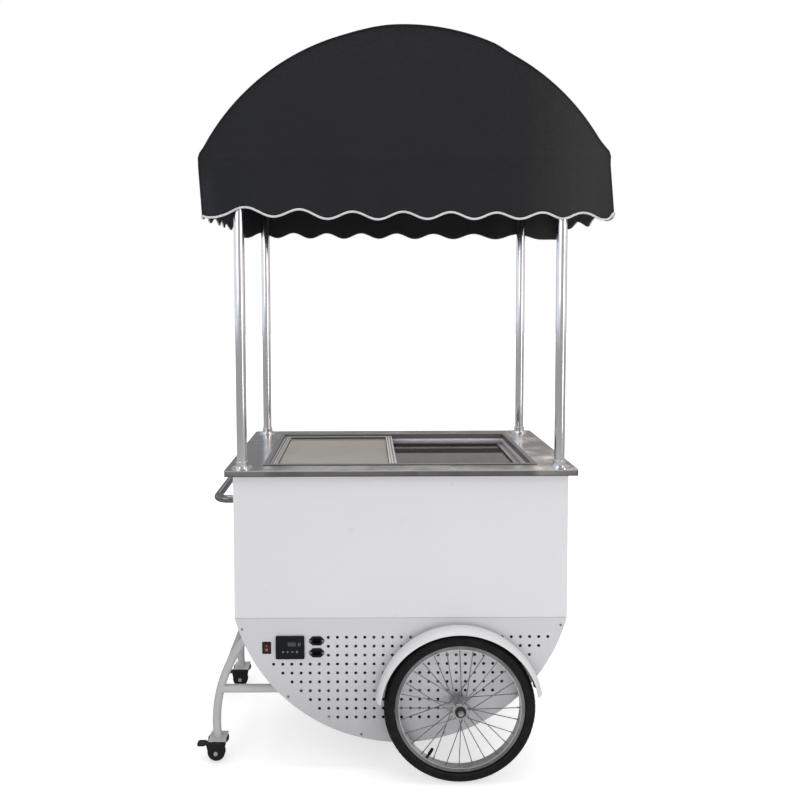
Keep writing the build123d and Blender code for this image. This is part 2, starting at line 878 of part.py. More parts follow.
def build_rim(side):
    """U-section rim with a hole for the valve."""
    with BuildPart() as rim:
        with BuildSketch(wheel_section(side)):
            with Locations((0, rim_base_radius)):
                Rectangle(rim_width, rim_depth, align=(Align.CENTER, Align.MIN))
            with Locations((0, rim_base_radius + rim_wall)):
                Rectangle(
                    rim_width - 2 * rim_wall,
                    rim_depth,
                    align=(Align.CENTER, Align.MIN),
                    mode=Mode.SUBTRACT,
                )
        revolve(axis=wheel_axis(side))
        hole_start = wheel_point(side, 0, valve_inner_radius, valve_angle)
        outwards = wheel_point(side, 0, rim_radius, valve_angle) - hole_start
        with BuildSketch(Plane(origin=hole_start, z_dir=outwards)):
            Circle(valve_diameter / 2 + wheel_fit)
        extrude(amount=outwards.length, mode=Mode.SUBTRACT)
    return rim


def build_spokes(side):
    """Crossed spokes: in each flange, spokes from its two faces lead opposite ways."""
    flange_out = hub_flange_spacing / 2
    head_out = hub_flange / 2 + spoke_diameter / 2
    rim_end = rim_base_radius - spoke_end_gap
    with BuildPart() as spokes:
        for i in range(spoke_count):
            flange = 1 if i % 2 == 0 else -1
            lead = 1 if i % 4 < 2 else -1
            rim_angle = i * 360 / spoke_count
            offset = flange_out + (head_out + spoke_head_gap if lead > 0 else -head_out - axle_fit)
            start = wheel_point(side, flange * offset, spoke_hub_radius, rim_angle + lead * spoke_lead)
            end = wheel_point(side, flange * spoke_diameter, rim_end, rim_angle)
            length = (end - start).length
            with BuildSketch(Plane(origin=start, z_dir=end - start)):
                Circle(spoke_diameter / 2)
            extrude(amount=length)
            with BuildSketch(Plane(origin=end, z_dir=start - end)):
                Circle(nipple_diameter / 2)
            extrude(amount=nipple_length)
    return spokes


def build_hub(side):
    """Hub with two spoke flanges, and the dust seal on its outer end."""
    bore = axle_radius + axle_fit
    flange_in = hub_flange_spacing / 2 - hub_flange / 2
    flange_out = hub_flange_spacing / 2 + hub_flange / 2
    neck = hub_neck_diameter / 2
    with BuildPart() as hub:
        with BuildSketch(wheel_section(side)):
            with Locations((0, bore)):
                Rectangle(2 * hub_half, neck - bore, align=(Align.CENTER, Align.MIN))
                Rectangle(2 * flange_in, hub_barrel_diameter / 2 - bore, align=(Align.CENTER, Align.MIN))
            with Locations((flange_in, bore), (-flange_out, bore)):
                Rectangle(hub_flange, hub_flange_diameter / 2 - bore, align=(Align.MIN, Align.MIN))
        revolve(axis=wheel_axis(side))
        with BuildSketch(wheel_section(side)):
            with Locations((flange_out + seal_gap, neck + seal_gap)):
                Rectangle(hub_neck - 2 * seal_gap, seal_diameter / 2 - neck, align=(Align.MIN, Align.MIN))
        revolve(axis=wheel_axis(side))
    return hub


front_tyre = build_tyre(-1)
rear_tyre = build_tyre(1)
front_rim = build_rim(-1)
rear_rim = build_rim(1)
front_spokes = build_spokes(-1)
rear_spokes = build_spokes(1)
front_hub = build_hub(-1)
rear_hub = build_hub(1)

# Axle rod with a nut on each side of each hub
with BuildPart() as wheel_axle:
    with BuildSketch(upright(axle_length / 2)):
        with Locations((wheel_x, wheel_z)):
            Circle(axle_radius)
    extrude(amount=axle_length)
    for side in (-1, 1):
        for nut_start in (wheel_y + hub_half + wheel_fit, wheel_y - hub_half - wheel_fit - nut_height):
            with BuildSketch(upright(side * nut_start)):
                with Locations((wheel_x, wheel_z)):
                    RegularPolygon(nut_diameter / 2, 6)
                    Circle(axle_radius + axle_fit, mode=Mode.SUBTRACT)
            extrude(amount=-side * nut_height)

# Casters
crown_top_z = caster_height - swivel_gap
crown_bottom_z = crown_top_z - crown_height
fork_inner = caster_wheel_width / 2 + fork_gap
fork_outer = fork_inner + fork_plate
pedal_x = caster_x + pedal_pivot_x


def build_fork(y):
    """Swivel fork with its kingpin and pedal pin, and the wheel bolt as a piece of its own."""
    with BuildPart() as fork:
        with BuildSketch(level(crown_bottom_z)):
            with Locations((caster_x, y)):
                Circle(crown_diameter / 2)
        extrude(amount=crown_height)
        with BuildSketch(level(crown_top_z)):
            with Locations((caster_x, y)):
                Circle(kingpin_diameter / 2)
        extrude(amount=foot_plate_thickness)
        for plate_y in (y - fork_inner, y + fork_outer):
            with BuildSketch(upright(plate_y)):
                with Locations((caster_wheel_x, caster_wheel_z)):
                    Circle(fork_tip_radius)
                with Locations((pedal_x, pedal_pivot_z)):
                    Circle(pedal_ear_radius)
                with Locations((caster_x, crown_bottom_z)):
                    Rectangle(fork_head_width, crown_height, align=(Align.CENTER, Align.MIN))
                make_hull()
                with Locations((caster_wheel_x, caster_wheel_z)):
                    Circle(bolt_diameter / 2 + bolt_gap, mode=Mode.SUBTRACT)
            extrude(amount=fork_plate)
        with BuildSketch(upright(y + fork_inner)):
            with Locations((pedal_x, pedal_pivot_z)):
                Circle(pedal_pin_diameter / 2)
        extrude(amount=2 * fork_inner)
        with BuildSketch(upright(y + fork_outer)):
            with Locations((caster_wheel_x, caster_wheel_z)):
                Circle(bolt_diameter / 2)
        extrude(amount=2 * fork_outer)
        for head_y in (y - fork_outer - bolt_gap, y + fork_outer + bolt_gap + bolt_head_height):
            with BuildSketch(upright(head_y)):
                with Locations((caster_wheel_x, caster_wheel_z)):
                    Circle(bolt_head / 2)
            extrude(amount=bolt_head_height)
        for neck_y in (y - fork_outer, y + fork_outer + bolt_gap):
            with BuildSketch(upright(neck_y)):
                with Locations((caster_wheel_x, caster_wheel_z)):
                    Circle(bolt_diameter / 2)
            extrude(amount=bolt_gap)
    return fork


def build_caster_wheel(y):
    with BuildPart() as wheel:
        with BuildSketch(upright(y + caster_wheel_width / 2)):
            with Locations((caster_wheel_x, caster_wheel_z)):
                Circle(caster_wheel_diameter / 2)
        extrude(amount=caster_wheel_width)
        fillet(wheel.edges().filter_by(GeomType.CIRCLE), caster_wheel_round)
        with BuildSketch(upright(y + caster_wheel_width / 2)):
            with Locations((caster_wheel_x, caster_wheel_z)):
                Circle(bolt_diameter / 2 + axle_fit)
        extrude(amount=caster_wheel_width, mode=Mode.SUBTRACT)
    return wheel


def build_pedal(y):
    """Brake pedal: a barrel on the pedal pin, an arm between the fork plates and a wide paddle."""
    arm_half = fork_inner - pedal_side_gap
    paddle_right = -pedal_length + pedal_paddle
    with BuildPart() as pedal:
        with BuildSketch(upright(y + arm_half)):
            with Locations((pedal_x, pedal_pivot_z)):
                Circle(pedal_barrel_diameter / 2)
            with Locations((caster_x - pedal_length, pedal_pivot_z)):
                Rectangle(pedal_length + pedal_pivot_x, pedal_thickness, align=(Align.MIN, Align.CENTER))
            with Locations((pedal_x, pedal_pivot_z)):
                Circle(pedal_pin_diameter / 2 + axle_fit, mode=Mode.SUBTRACT)
        extrude(amount=2 * arm_half)
        with BuildSketch(upright(y + pedal_width / 2)):
            with Locations((caster_x - pedal_length, pedal_pivot_z)):
                Rectangle(
                    pedal_length + paddle_right, pedal_thickness, align=(Align.MIN, Align.CENTER)
                )
        extrude(amount=pedal_width)
        fillet(pedal.edges().filter_by(Axis.Z).group_by(Axis.X)[0], pedal_round)
    return pedal


front_caster_fork = build_fork(-leg_y)
rear_caster_fork = build_fork(leg_y)
front_caster_wheel = build_caster_wheel(-leg_y)
rear_caster_wheel = build_caster_wheel(leg_y)
front_caster_pedal = build_pedal(-leg_y)
rear_caster_pedal = build_pedal(leg_y)

# Push handle with a flange at each end
handle_x = -half_length - handle_reach
with BuildPart() as push_handle:
    with BuildLine(level(handle_z)) as handle_path:
        FilletPolyline(
            (-half_length, -handle_half_width),
            (handle_x, -handle_half_width),
            (handle_x, handle_half_width),
            (-half_length, handle_half_width),
            radius=handle_bend,
        )
    with BuildSketch(Plane(origin=handle_path.line @ 0, z_dir=handle_path.line % 0)):
        Circle(handle_tube / 2)
    sweep(path=handle_path.line)
    with BuildSketch(crosswise(-half_length)):
        with Locations((-handle_half_width, handle_z), (handle_half_width, handle_z)):
            Circle(handle_flange / 2)
    extrude(amount=-handle_flange_thickness)

# Canopy poles and their base flanges
rail_bottom_z = canopy_spring_z - rail_tube
with BuildPart() as canopy_poles:
    with BuildSketch(level(counter_top_z)):
        with GridLocations(2 * pole_x, 2 * pole_y, 2, 2):
            Circle(pole_diameter / 2)
            Circle(pole_diameter / 2 - pole_wall, mode=Mode.SUBTRACT)
    extrude(amount=rail_bottom_z - counter_top_z)

with BuildPart() as pole_flanges:
    for ring, height in ((pole_flange, pole_flange_thickness), (pole_collar, pole_collar_height)):
        with BuildSketch(level(counter_top_z)):
            with GridLocations(2 * pole_x, 2 * pole_y, 2, 2):
                Circle(ring / 2)
                Circle(pole_diameter / 2 + pole_fit, mode=Mode.SUBTRACT)
        extrude(amount=height)

# Canopy frame: four rails at the springing line, three bows and the purlins between them
rail_half_length = canopy_half - cloth - cloth_gap
rail_half_depth = canopy_half_depth - cloth - cloth_gap
with BuildPart() as canopy_rails:
    with BuildSketch(level(rail_bottom_z, canopy_x)):
        with GridLocations(0, 2 * rail_half_depth - rail_tube, 1, 2):
            Rectangle(2 * rail_half_length, rail_tube)
        with GridLocations(2 * rail_half_length - rail_tube, 0, 2, 1):
            Rectangle(rail_tube, 2 * (rail_half_depth - rail_tube - rail_gap))
    extrude(amount=rail_tube)

bow_radius = canopy_radius - cloth - cloth_gap
bow_faces = (rail_half_depth, rail_tube / 2, rail_tube - rail_half_depth)
purlin_ring = bow_radius - bow_depth / 2
purlin_places = [
    (purlin_ring * sin(radians(a)), canopy_centre_z + purlin_ring * cos(radians(a)))
    for a in (-purlin_angle, 0, purlin_angle)
]
with BuildPart() as canopy_bows:
    for face_y in bow_faces:
        with BuildSketch(upright(face_y, canopy_x)):
            with Locations((0, canopy_centre_z)):
                Circle(bow_radius)
                Circle(bow_radius - bow_depth, mode=Mode.SUBTRACT)
            with Locations((0, canopy_spring_z)):
                Rectangle(
                    canopy_length, canopy_rise, align=(Align.CENTER, Align.MIN), mode=Mode.INTERSECT
                )
        extrude(amount=rail_tube)
    for back_face, front_face in ((0, 1), (1, 2)):
        start_y = bow_faces[back_face] - rail_tube - rail_gap
        end_y = bow_faces[front_face] + rail_gap
        with BuildSketch(upright(start_y, canopy_x)):
            with Locations(*purlin_places):
                Circle(purlin_diameter / 2)
        extrude(amount=start_y - end_y)


def wave_turn(past_crest):
    """Number of waves between the first crest and a point that far past it along the front edge."""
    root = sqrt(front_first_pitch**2 - 4 * front_pitch_loss * past_crest)
    return (front_first_pitch - root) / (2 * front_pitch_loss)


def front_wave(drop):
    """Points of the front edge from left to right; its waves get shorter along the edge."""
    points = []
    first = wave_turn(-front_first_crest)
    last = wave_turn(canopy_length - front_first_crest)
    for i in range(front_wave_points + 1):
        turn = first + (last - first) * i / front_wave_points
        x = front_first_crest + front_first_pitch * turn - front_pitch_loss * turn**2 - canopy_half
        points.append((x, wave_mid_z - drop + wave_height / 2 * cos(2 * pi * turn)))
    return points


def side_wave(drop):
    """Points of a side edge from front to back, with a trough at each corner."""
    half_width = canopy_half_depth - cloth
    points = []
    for i in range(side_wave_points + 1):
        share = i / side_wave_points
        rise = -wave_height / 2 * cos(2 * pi * side_waves * share)
        points.append((half_width * (2 * share - 1), wave_mid_z - drop + rise))
    return points


def wavy_strip(upper, lower):
    """Face between two wavy edges, drawn in the current sketch."""
    with BuildLine() as outline:
        top = Spline(*upper)
        bottom = Spline(*lower)
        Line(top @ 0, bottom @ 0)
        Line(top @ 1, bottom @ 1)
    make_face(outline.edges())


def end_cloth(back_y, hand):
    """Half-moon end of the canopy with its hanging band; hand turns the waves round for the back."""
    with BuildPart() as cloth_end:
        with BuildSketch(upright(back_y, canopy_x)):
            with BuildLine():
                arch = ThreePointArc(
                    (-canopy_half, canopy_spring_z),
                    (0, canopy_spring_z + canopy_rise),
                    (canopy_half, canopy_spring_z),
                )
                edge = Spline(*[(hand * x, z) for x, z in front_wave(0)])
                Line(arch @ 0, edge @ (0 if hand > 0 else 1))
                Line(arch @ 1, edge @ (1 if hand > 0 else 0))
            make_face()
        extrude(amount=cloth)
    return cloth_end


canopy_front = end_cloth(cloth - canopy_half_depth, 1)
canopy_back = end_cloth(canopy_half_depth, -1)

# Barrel roof with the two side bands, cut to the wavy edge
roof_half_depth = canopy_half_depth - cloth
hang = canopy_spring_z - wave_mid_z + wave_height
with BuildPart() as canopy_top:
    with BuildSketch(upright(roof_half_depth, canopy_x)):
        with Locations((0, canopy_centre_z)):
            Circle(canopy_radius)
            Circle(canopy_radius - cloth, mode=Mode.SUBTRACT)
        with Locations((0, canopy_spring_z)):
            Rectangle(canopy_length, canopy_rise, align=(Align.CENTER, Align.MIN), mode=Mode.INTERSECT)
        with Locations((-canopy_half, canopy_spring_z)):
            Rectangle(cloth, hang, align=(Align.MIN, Align.MAX))
        with Locations((canopy_half, canopy_spring_z)):
            Rectangle(cloth, hang, align=(Align.MAX, Align.MAX))
    extrude(amount=2 * roof_half_depth)
    with BuildSketch(crosswise(-canopy_half, canopy_x)):
        wavy_strip(side_wave(0), side_wave(2 * wave_height))
    extrude(amount=canopy_length, mode=Mode.SUBTRACT)

# White piping along the four wavy edges
piping_half_depth = canopy_half_depth - cloth / 2 - piping_thickness / 2 - rail_gap
piping_drop = cloth_gap + piping_height
with BuildPart() as canopy_piping:
    for hand in (1, -1):
        start_y = -hand * (canopy_half_depth - cloth / 2) + piping_thickness / 2
        with BuildSketch(upright(start_y, canopy_x)):
            wavy_strip(
                [(hand * x, z) for x, z in front_wave(cloth_gap)],
                [(hand * x, z) for x, z in front_wave(piping_drop)],
            )
            with Locations((0, wave_mid_z)):
                Rectangle(2 * rail_half_length, hang, mode=Mode.INTERSECT)
        extrude(amount=piping_thickness)
        side_x = hand * (canopy_half - cloth / 2) - piping_thickness / 2
        with BuildSketch(crosswise(side_x, canopy_x)):
            wavy_strip(side_wave(cloth_gap), side_wave(piping_drop))
            with Locations((0, wave_mid_z)):
                Rectangle(2 * piping_half_depth, hang, mode=Mode.INTERSECT)
        extrude(amount=piping_thickness)

# Rocker switch
switch_window = (switch_body_width - 2 * switch_wall, switch_body_height - 2 * switch_wall)
rocker_y = -half_depth + rocker_pivot_depth
rocker_width = switch_window[0] - 2 * rocker_gap
rocker_end = switch_window[1] / 2 - rocker_end_gap
with BuildPart() as switch_housing:
    with BuildSketch(upright(-half_depth)):
        with Locations((switch_x, switch_z)):
            RectangleRounded(switch_width, switch_height, switch_bezel)
    extrude(amount=switch_bezel)
    with BuildSketch(upright(switch_body_depth - half_depth)):
        with Locations((switch_x, switch_z)):
            Rectangle(switch_body_width, switch_body_height)
    extrude(amount=switch_body_depth)
    with BuildSketch(upright(switch_body_depth - half_depth - switch_bezel)):
        with Locations((switch_x, switch_z)):
            Rectangle(*switch_window)
    extrude(amount=switch_body_depth, mode=Mode.SUBTRACT)
    with BuildSketch(crosswise(switch_x)):
        with Locations((rocker_y, switch_z)):
            Circle(rocker_pin / 2 + axle_fit)
    extrude(amount=switch_body_width, both=True, mode=Mode.SUBTRACT)

with BuildPart() as switch_rocker:
    with BuildSketch(crosswise(switch_x)):
        with Locations((rocker_y, switch_z)):
            Circle(rocker_end)
        with Locations(Location((rocker_y, switch_z), rocker_tilt)):
            Polygon(
                (-rocker_rise, -rocker_end),
                (-rocker_valley, 0),
                (-rocker_rise, rocker_end),
                (rocker_back, rocker_end),
                (rocker_back, -rocker_end),
                align=None,
                mode=Mode.INTERSECT,
            )
    extrude(amount=rocker_width / 2, both=True)
    with BuildSketch(crosswise(switch_x)):
        with Locations((rocker_y, switch_z)):
            Circle(rocker_pin / 2)
    extrude(amount=rocker_width / 2 + rocker_pin_length, both=True)

# Temperature controller with its display and keys
controller_face_y = -half_depth - controller_bezel
key_places = [
    (controller_x + key_first_x + i * key_pitch, controller_z + key_z) for i in range(key_count)
]
display_place = (controller_x + display_x, controller_z + display_z)
with BuildPart() as controller_case:
    with BuildSketch(upright(-half_depth)):
        with Locations((controller_x, controller_z)):
            RectangleRounded(controller_width, controller_height, controller_corner)
    extrude(amount=controller_bezel)
    with BuildSketch(upright(controller_body_depth - half_depth)):
        with Locations((controller_x, controller_z)):
            Rectangle(controller_body_width, controller_body_height)
    extrude(amount=controller_body_depth)
    with BuildSketch(upright(controller_face_y + key_pocket)):
        with Locations(*key_places):
            Circle(key_diameter / 2 + key_gap)
    extrude(amount=key_pocket, mode=Mode.SUBTRACT)
    with BuildSketch(upright(controller_face_y + display_thickness)):
        with Locations(display_place):
            Rectangle(display_width, display_height)
    extrude(amount=display_thickness, mode=Mode.SUBTRACT)

with BuildPart() as controller_display:
    with BuildSketch(upright(controller_face_y + display_thickness)):
        with Locations(display_place):
            Rectangle(display_width, display_height)
    extrude(amount=display_thickness)


def build_key(place):
    with BuildPart() as key:
        with BuildSketch(upright(controller_face_y + key_height - key_proud)):
            with Locations(place):
                Circle(key_diameter / 2)
        extrude(amount=key_height)
    return key


controller_keys = [build_key(place) for place in key_places]

# Power inlets: a flange with two ears, a socket and three contact pins
ear_half = inlet_ear / 2
inlet_right = [
    (inlet_shoulder / 2, inlet_height / 2),
    (inlet_width / 2, ear_half),
    (inlet_width / 2, -ear_half),
    (inlet_shoulder / 2, -inlet_height / 2),
]
inlet_outline = inlet_right + [(-x, -z) for x, z in inlet_right]
socket_floor_y = -half_depth - inlet_flange + inlet_socket_depth
with BuildPart() as power_inlets:
    with BuildSketch(upright(-half_depth)):
        with Locations(*inlet_places):
            Polygon(*inlet_outline, align=None)
    extrude(amount=inlet_flange)
    with BuildSketch(upright(inlet_body_depth - half_depth)):
        with Locations(*inlet_places):
            Rectangle(inlet_body_width, inlet_body_height)
    extrude(amount=inlet_body_depth)
    with BuildSketch(upright(socket_floor_y)):
        with Locations(*inlet_places):
            RectangleRounded(inlet_socket_width, inlet_socket_height, inlet_corner)
    extrude(amount=inlet_socket_depth, mode=Mode.SUBTRACT)
    with BuildSketch(upright(socket_floor_y)):
        for x, z in inlet_places:
            with Locations((x, z)):
                with GridLocations(inlet_pin_pitch, 0, 3, 1):
                    Rectangle(inlet_pin_width, inlet_pin_height)
    extrude(amount=inlet_pin_length)

# Cooling machinery
with BuildPart() as machine_tray:
    with BuildSketch(level(tray_bottom_z)):
        with Locations(((tray_left_x + tray_right_x) / 2, 0)):
            Rectangle(tray_right_x - tray_left_x, tray_depth)
    extrude(amount=tray_thickness)

compressor_base_z = tray_top_z + compressor_foot
with BuildPart() as compressor:
    with BuildSketch(level(compressor_base_z)):
        with Locations((compressor_x, compressor_y)):
            Circle(compressor_diameter / 2)
    extrude(amount=compressor_height)
    fillet(compressor.edges().filter_by(GeomType.CIRCLE), compressor_round)
    with BuildSketch(level(compressor_base_z)):
        with Locations((compressor_x, compressor_y)):
            Rectangle(compressor_foot_spread + 2 * compressor_foot, compressor_plate_depth)
    extrude(amount=compressor_plate)
    with BuildSketch(level(tray_top_z)):
        with Locations((compressor_x, compressor_y)):
            with GridLocations(compressor_foot_spread, compressor_foot_depth, 2, 2):
                Circle(compressor_foot / 2)
    extrude(amount=compressor_foot)

fan_z = tray_top_z + condenser_height / 2
with BuildPart() as condenser:
    with BuildSketch(level(tray_top_z)):
        with Locations((condenser_x + condenser_thickness / 2, 0)):
            with GridLocations(0, condenser_width / (condenser_fins + 1), 1, condenser_fins):
                Rectangle(condenser_thickness, condenser_fin)
            with GridLocations(0, condenser_width - condenser_side, 1, 2):
                Rectangle(condenser_thickness, condenser_side)
    extrude(amount=condenser_height)
    with BuildSketch(upright(condenser_width / 2)):
        with Locations((condenser_x + condenser_thickness / 2, fan_z)):
            with GridLocations(condenser_thickness / 2, condenser_height / 4, 2, 4):
                Circle(condenser_tube / 2)
    extrude(amount=condenser_width)
    with BuildSketch(crosswise(condenser_x - shroud_thickness)):
        with Locations((0, fan_z)):
            Rectangle(condenser_width, condenser_height)
            Circle(fan_diameter / 2 + fan_gap, mode=Mode.SUBTRACT)
    extrude(amount=shroud_thickness)
    with BuildSketch(level(condenser_top_z - condenser_side)):
        with Locations((condenser_x + condenser_thickness / 2, 0)):
            Rectangle(condenser_thickness, condenser_width)
    extrude(amount=condenser_side)

fan_right_x = condenser_x - shroud_thickness - fan_gap
fan_left_x = fan_right_x - fan_hub_length
motor_right_x = fan_left_x - motor_gap
motor_left_x = motor_right_x - motor_length
with BuildPart() as fan_motor:
    with BuildSketch(crosswise(motor_left_x)):
        with Locations((0, fan_z)):
            Circle(motor_diameter / 2)
    extrude(amount=motor_length)
    with BuildSketch(crosswise(motor_right_x)):
        with Locations((0, fan_z)):
            Circle(fan_shaft / 2)
    extrude(amount=fan_right_x - motor_right_x)
    with BuildSketch(level(tray_top_z)):
        with Locations(((motor_left_x + motor_right_x) / 2, 0)):
            Rectangle(motor_bracket, motor_bracket_width)
    extrude(amount=fan_z - tray_top_z)

blade_inner = fan_hub_diameter / 2 - fan_blade_sheet
blade_length = fan_diameter / 2 - blade_inner
with BuildPart() as fan_blade:
    with BuildSketch(crosswise(fan_left_x)):
        with Locations((0, fan_z)):
            Circle(fan_hub_diameter / 2)
    extrude(amount=fan_hub_length)
    for i in range(fan_blades):
        turn = radians(i * 360 / fan_blades)
        tilt = radians(fan_pitch_angle)
        outwards = Vector(0, cos(turn), sin(turn))
        around = Vector(0, -sin(turn), cos(turn))
        facing = Vector(1, 0, 0) * cos(tilt) + around * sin(tilt)
        root = Vector(cabinet_x + (fan_left_x + fan_right_x) / 2, 0, fan_z) + outwards * blade_inner
        with BuildSketch(Plane(origin=root, x_dir=outwards, z_dir=facing)):
            Rectangle(blade_length, fan_blade_width, align=(Align.MIN, Align.CENTER))
        extrude(amount=fan_blade_sheet / 2, both=True)
    with BuildSketch(crosswise(fan_left_x)):
        with Locations((0, fan_z)):
            Circle(fan_shaft / 2 + fan_shaft_fit)
    extrude(amount=fan_hub_length, mode=Mode.SUBTRACT)

discharge_x = compressor_x + discharge_offset
condenser_inlet_x = condenser_x + condenser_thickness / 2
refrigerant_pipes = swept_tube(
    [
        (discharge_x, compressor_y, compressor_top_z + pipe_end_gap),
        (discharge_x, compressor_y, discharge_z),
        (condenser_inlet_x, compressor_y, discharge_z),
        (condenser_inlet_x, compressor_y, condenser_top_z + pipe_end_gap),
    ],
    [pipe_bend, pipe_bend],
    discharge_tube,
)

pieces = {
    "base_frame": base_frame,
    "wheel_axle": wheel_axle,
    "front_panel": front_panel,
    "back_panel": back_panel,
    "end_panels": end_panels,
    "front_skirt": front_skirt,
    "back_skirt": back_skirt,
    "belly_panel": belly_panel,
    "cabinet_floor": cabinet_floor,
    "panel_screws": panel_screws,
    "countertop": countertop,
    "freezer_liner": freezer_liner,
    "insulation": insulation,
    "evaporator_coil": evaporator_coil,
    "lid_track": lid_track,
    "canopy_poles": canopy_poles,
    "pole_flanges": pole_flanges,
    "canopy_rails": canopy_rails,
    "canopy_bows": canopy_bows,
    "canopy_top": canopy_top,
    "canopy_front": canopy_front,
    "canopy_back": canopy_back,
    "canopy_piping": canopy_piping,
    "push_handle": push_handle,
    "caster_legs": caster_legs,
    "leg_braces": leg_braces,
    "fenders": fenders,
    "switch_housing": switch_housing,
    "switch_rocker": switch_rocker,
    "controller_case": controller_case,
    "controller_display": controller_display,
    "power_inlets": power_inlets,
    "machine_tray": machine_tray,
    "compressor": compressor,
    "condenser": condenser,
    "fan_motor": fan_motor,
    "fan_blade": fan_blade,
    "refrigerant_pipes": refrigerant_pipes,
    "front_tyre": front_tyre,
    "front_rim": front_rim,
    "front_spokes": front_spokes,
    "front_hub": front_hub,
    "rear_tyre": rear_tyre,
    "rear_rim": rear_rim,
    "rear_spokes": rear_spokes,
    "rear_hub": rear_hub,
    "front_caster_fork": front_caster_fork,
    "front_caster_wheel": front_caster_wheel,
    "front_caster_pedal": front_caster_pedal,
    "rear_caster_fork": rear_caster_fork,
    "rear_caster_wheel": rear_caster_wheel,
    "rear_caster_pedal": rear_caster_pedal,
    "left_lid_frame": left_lid_frame,
    "left_lid_glass": left_lid_glass,
    "right_lid_frame": right_lid_frame,
    "right_lid_glass": right_lid_glass,
}
for number, key in enumerate(controller_keys, start=1):
    pieces[f"controller_key_{number}"] = key

os.makedirs("parts", exist_ok=True)
for name, piece in pieces.items():
    piece.part.label = name
    export_step(piece.part, f"parts/{name}.step")
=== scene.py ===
# %% [markdown]
# # A push cart for ice cream
# The real cart is a chest freezer on two bicycle wheels and two casters, with an arched canvas roof on four
# poles. Its sheet metal, tubes and wheels are already solids in the frame, so they only need their finishes
# here. What a solid can't show is made in this lesson: the sewn canvas, the tyre tread, the lids' drawn
# profile, the screw heads and the marks on the controls. Every size is in metres and every place comes from
# the frame.

# %% The frame
from math import asin, cos, exp, pi, radians, sin, sqrt, tau

import bmesh
import bpy
from mathutils import Matrix, Vector, noise
from mathutils.bvhtree import BVHTree


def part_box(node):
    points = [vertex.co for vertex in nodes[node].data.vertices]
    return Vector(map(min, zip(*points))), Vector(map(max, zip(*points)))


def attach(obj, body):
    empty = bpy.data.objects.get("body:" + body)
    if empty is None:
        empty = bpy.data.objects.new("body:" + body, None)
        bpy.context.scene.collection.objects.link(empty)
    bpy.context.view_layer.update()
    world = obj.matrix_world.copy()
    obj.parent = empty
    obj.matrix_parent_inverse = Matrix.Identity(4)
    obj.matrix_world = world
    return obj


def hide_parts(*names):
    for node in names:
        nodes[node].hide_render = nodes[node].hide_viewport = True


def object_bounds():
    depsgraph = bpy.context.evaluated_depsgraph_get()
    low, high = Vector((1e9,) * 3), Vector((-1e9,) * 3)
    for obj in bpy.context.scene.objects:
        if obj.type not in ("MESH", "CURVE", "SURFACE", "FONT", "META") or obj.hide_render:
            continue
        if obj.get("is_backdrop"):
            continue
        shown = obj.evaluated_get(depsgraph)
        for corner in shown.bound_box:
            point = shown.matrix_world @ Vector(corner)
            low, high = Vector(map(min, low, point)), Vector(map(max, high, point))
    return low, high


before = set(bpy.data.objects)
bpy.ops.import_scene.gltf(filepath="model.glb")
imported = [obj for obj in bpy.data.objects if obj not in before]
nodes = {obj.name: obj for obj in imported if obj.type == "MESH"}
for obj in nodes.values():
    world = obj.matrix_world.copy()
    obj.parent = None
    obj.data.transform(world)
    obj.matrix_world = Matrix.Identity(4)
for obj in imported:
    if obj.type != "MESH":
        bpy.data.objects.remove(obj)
solid_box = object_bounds()
scene = bpy.context.scene
scene.view_settings.view_transform = "Standard"


def middle(node):
    low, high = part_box(node)
    return (low + high) / 2


front_axle = middle("front_rim")
rear_axle = middle("rear_rim")

# %% [markdown]
# ## The camera
# The photograph was taken standing in front of the cart, a little left of its middle, with a wide lens. A
# lens is easiest to write down as it was measured, in pixels of the square picture. Blender wants
# millimetres on a sensor and a shift for an optical centre that isn't in the middle, so both are worked out
# from the pixels.

# %% Camera
picture_pixels = 800
focal_pixels = 729.3
optical_centre = (365.4, 342.3)
camera_place = (-0.0935, -2.6353, 1.5614)
camera_pitch = radians(3.360)
camera_roll = radians(-0.217)

lens = bpy.data.cameras.new("camera")
lens.lens = lens.sensor_width * focal_pixels / picture_pixels
lens.shift_x = 0.5 - optical_centre[0] / picture_pixels
lens.shift_y = optical_centre[1] / picture_pixels - 0.5
camera = bpy.data.objects.new("camera", lens)
looking = Matrix.Rotation(pi / 2 - camera_pitch, 4, "X") @ Matrix.Rotation(camera_roll, 4, "Z")
camera.matrix_world = Matrix.Translation(camera_place) @ looking
scene.collection.objects.link(camera)
scene.camera = camera
print("lens:", round(lens.lens, 2), "mm")

# %% [markdown]
# ## Node trees written as sums
# A finish is mostly arithmetic: a mask times a mask, one minus a mask. Wiring Math nodes by hand hides
# that, so a small class wraps a socket and turns each operator into the Math node that does it. One method
# makes every other kind of node: its settings come first, then its sockets.

# %% Wires
class Wire:
    """An output socket that can be added, taken away, multiplied and divided."""

    def __init__(self, graph, socket):
        self.graph = graph
        self.socket = socket

    def maths(self, operation, first, second):
        return self.graph.node("ShaderNodeMath", {"operation": operation}, {0: first, 1: second})

    def __add__(self, other):
        return self.maths("ADD", self, other)

    def __sub__(self, other):
        return self.maths("SUBTRACT", self, other)

    def __rsub__(self, other):
        return self.maths("SUBTRACT", other, self)

    def __mul__(self, other):
        return self.maths("MULTIPLY", self, other)

    def __truediv__(self, other):
        return self.maths("DIVIDE", self, other)

    def __pow__(self, other):
        return self.maths("POWER", self, other)

    __radd__ = __add__
    __rmul__ = __mul__


print("wires ready")

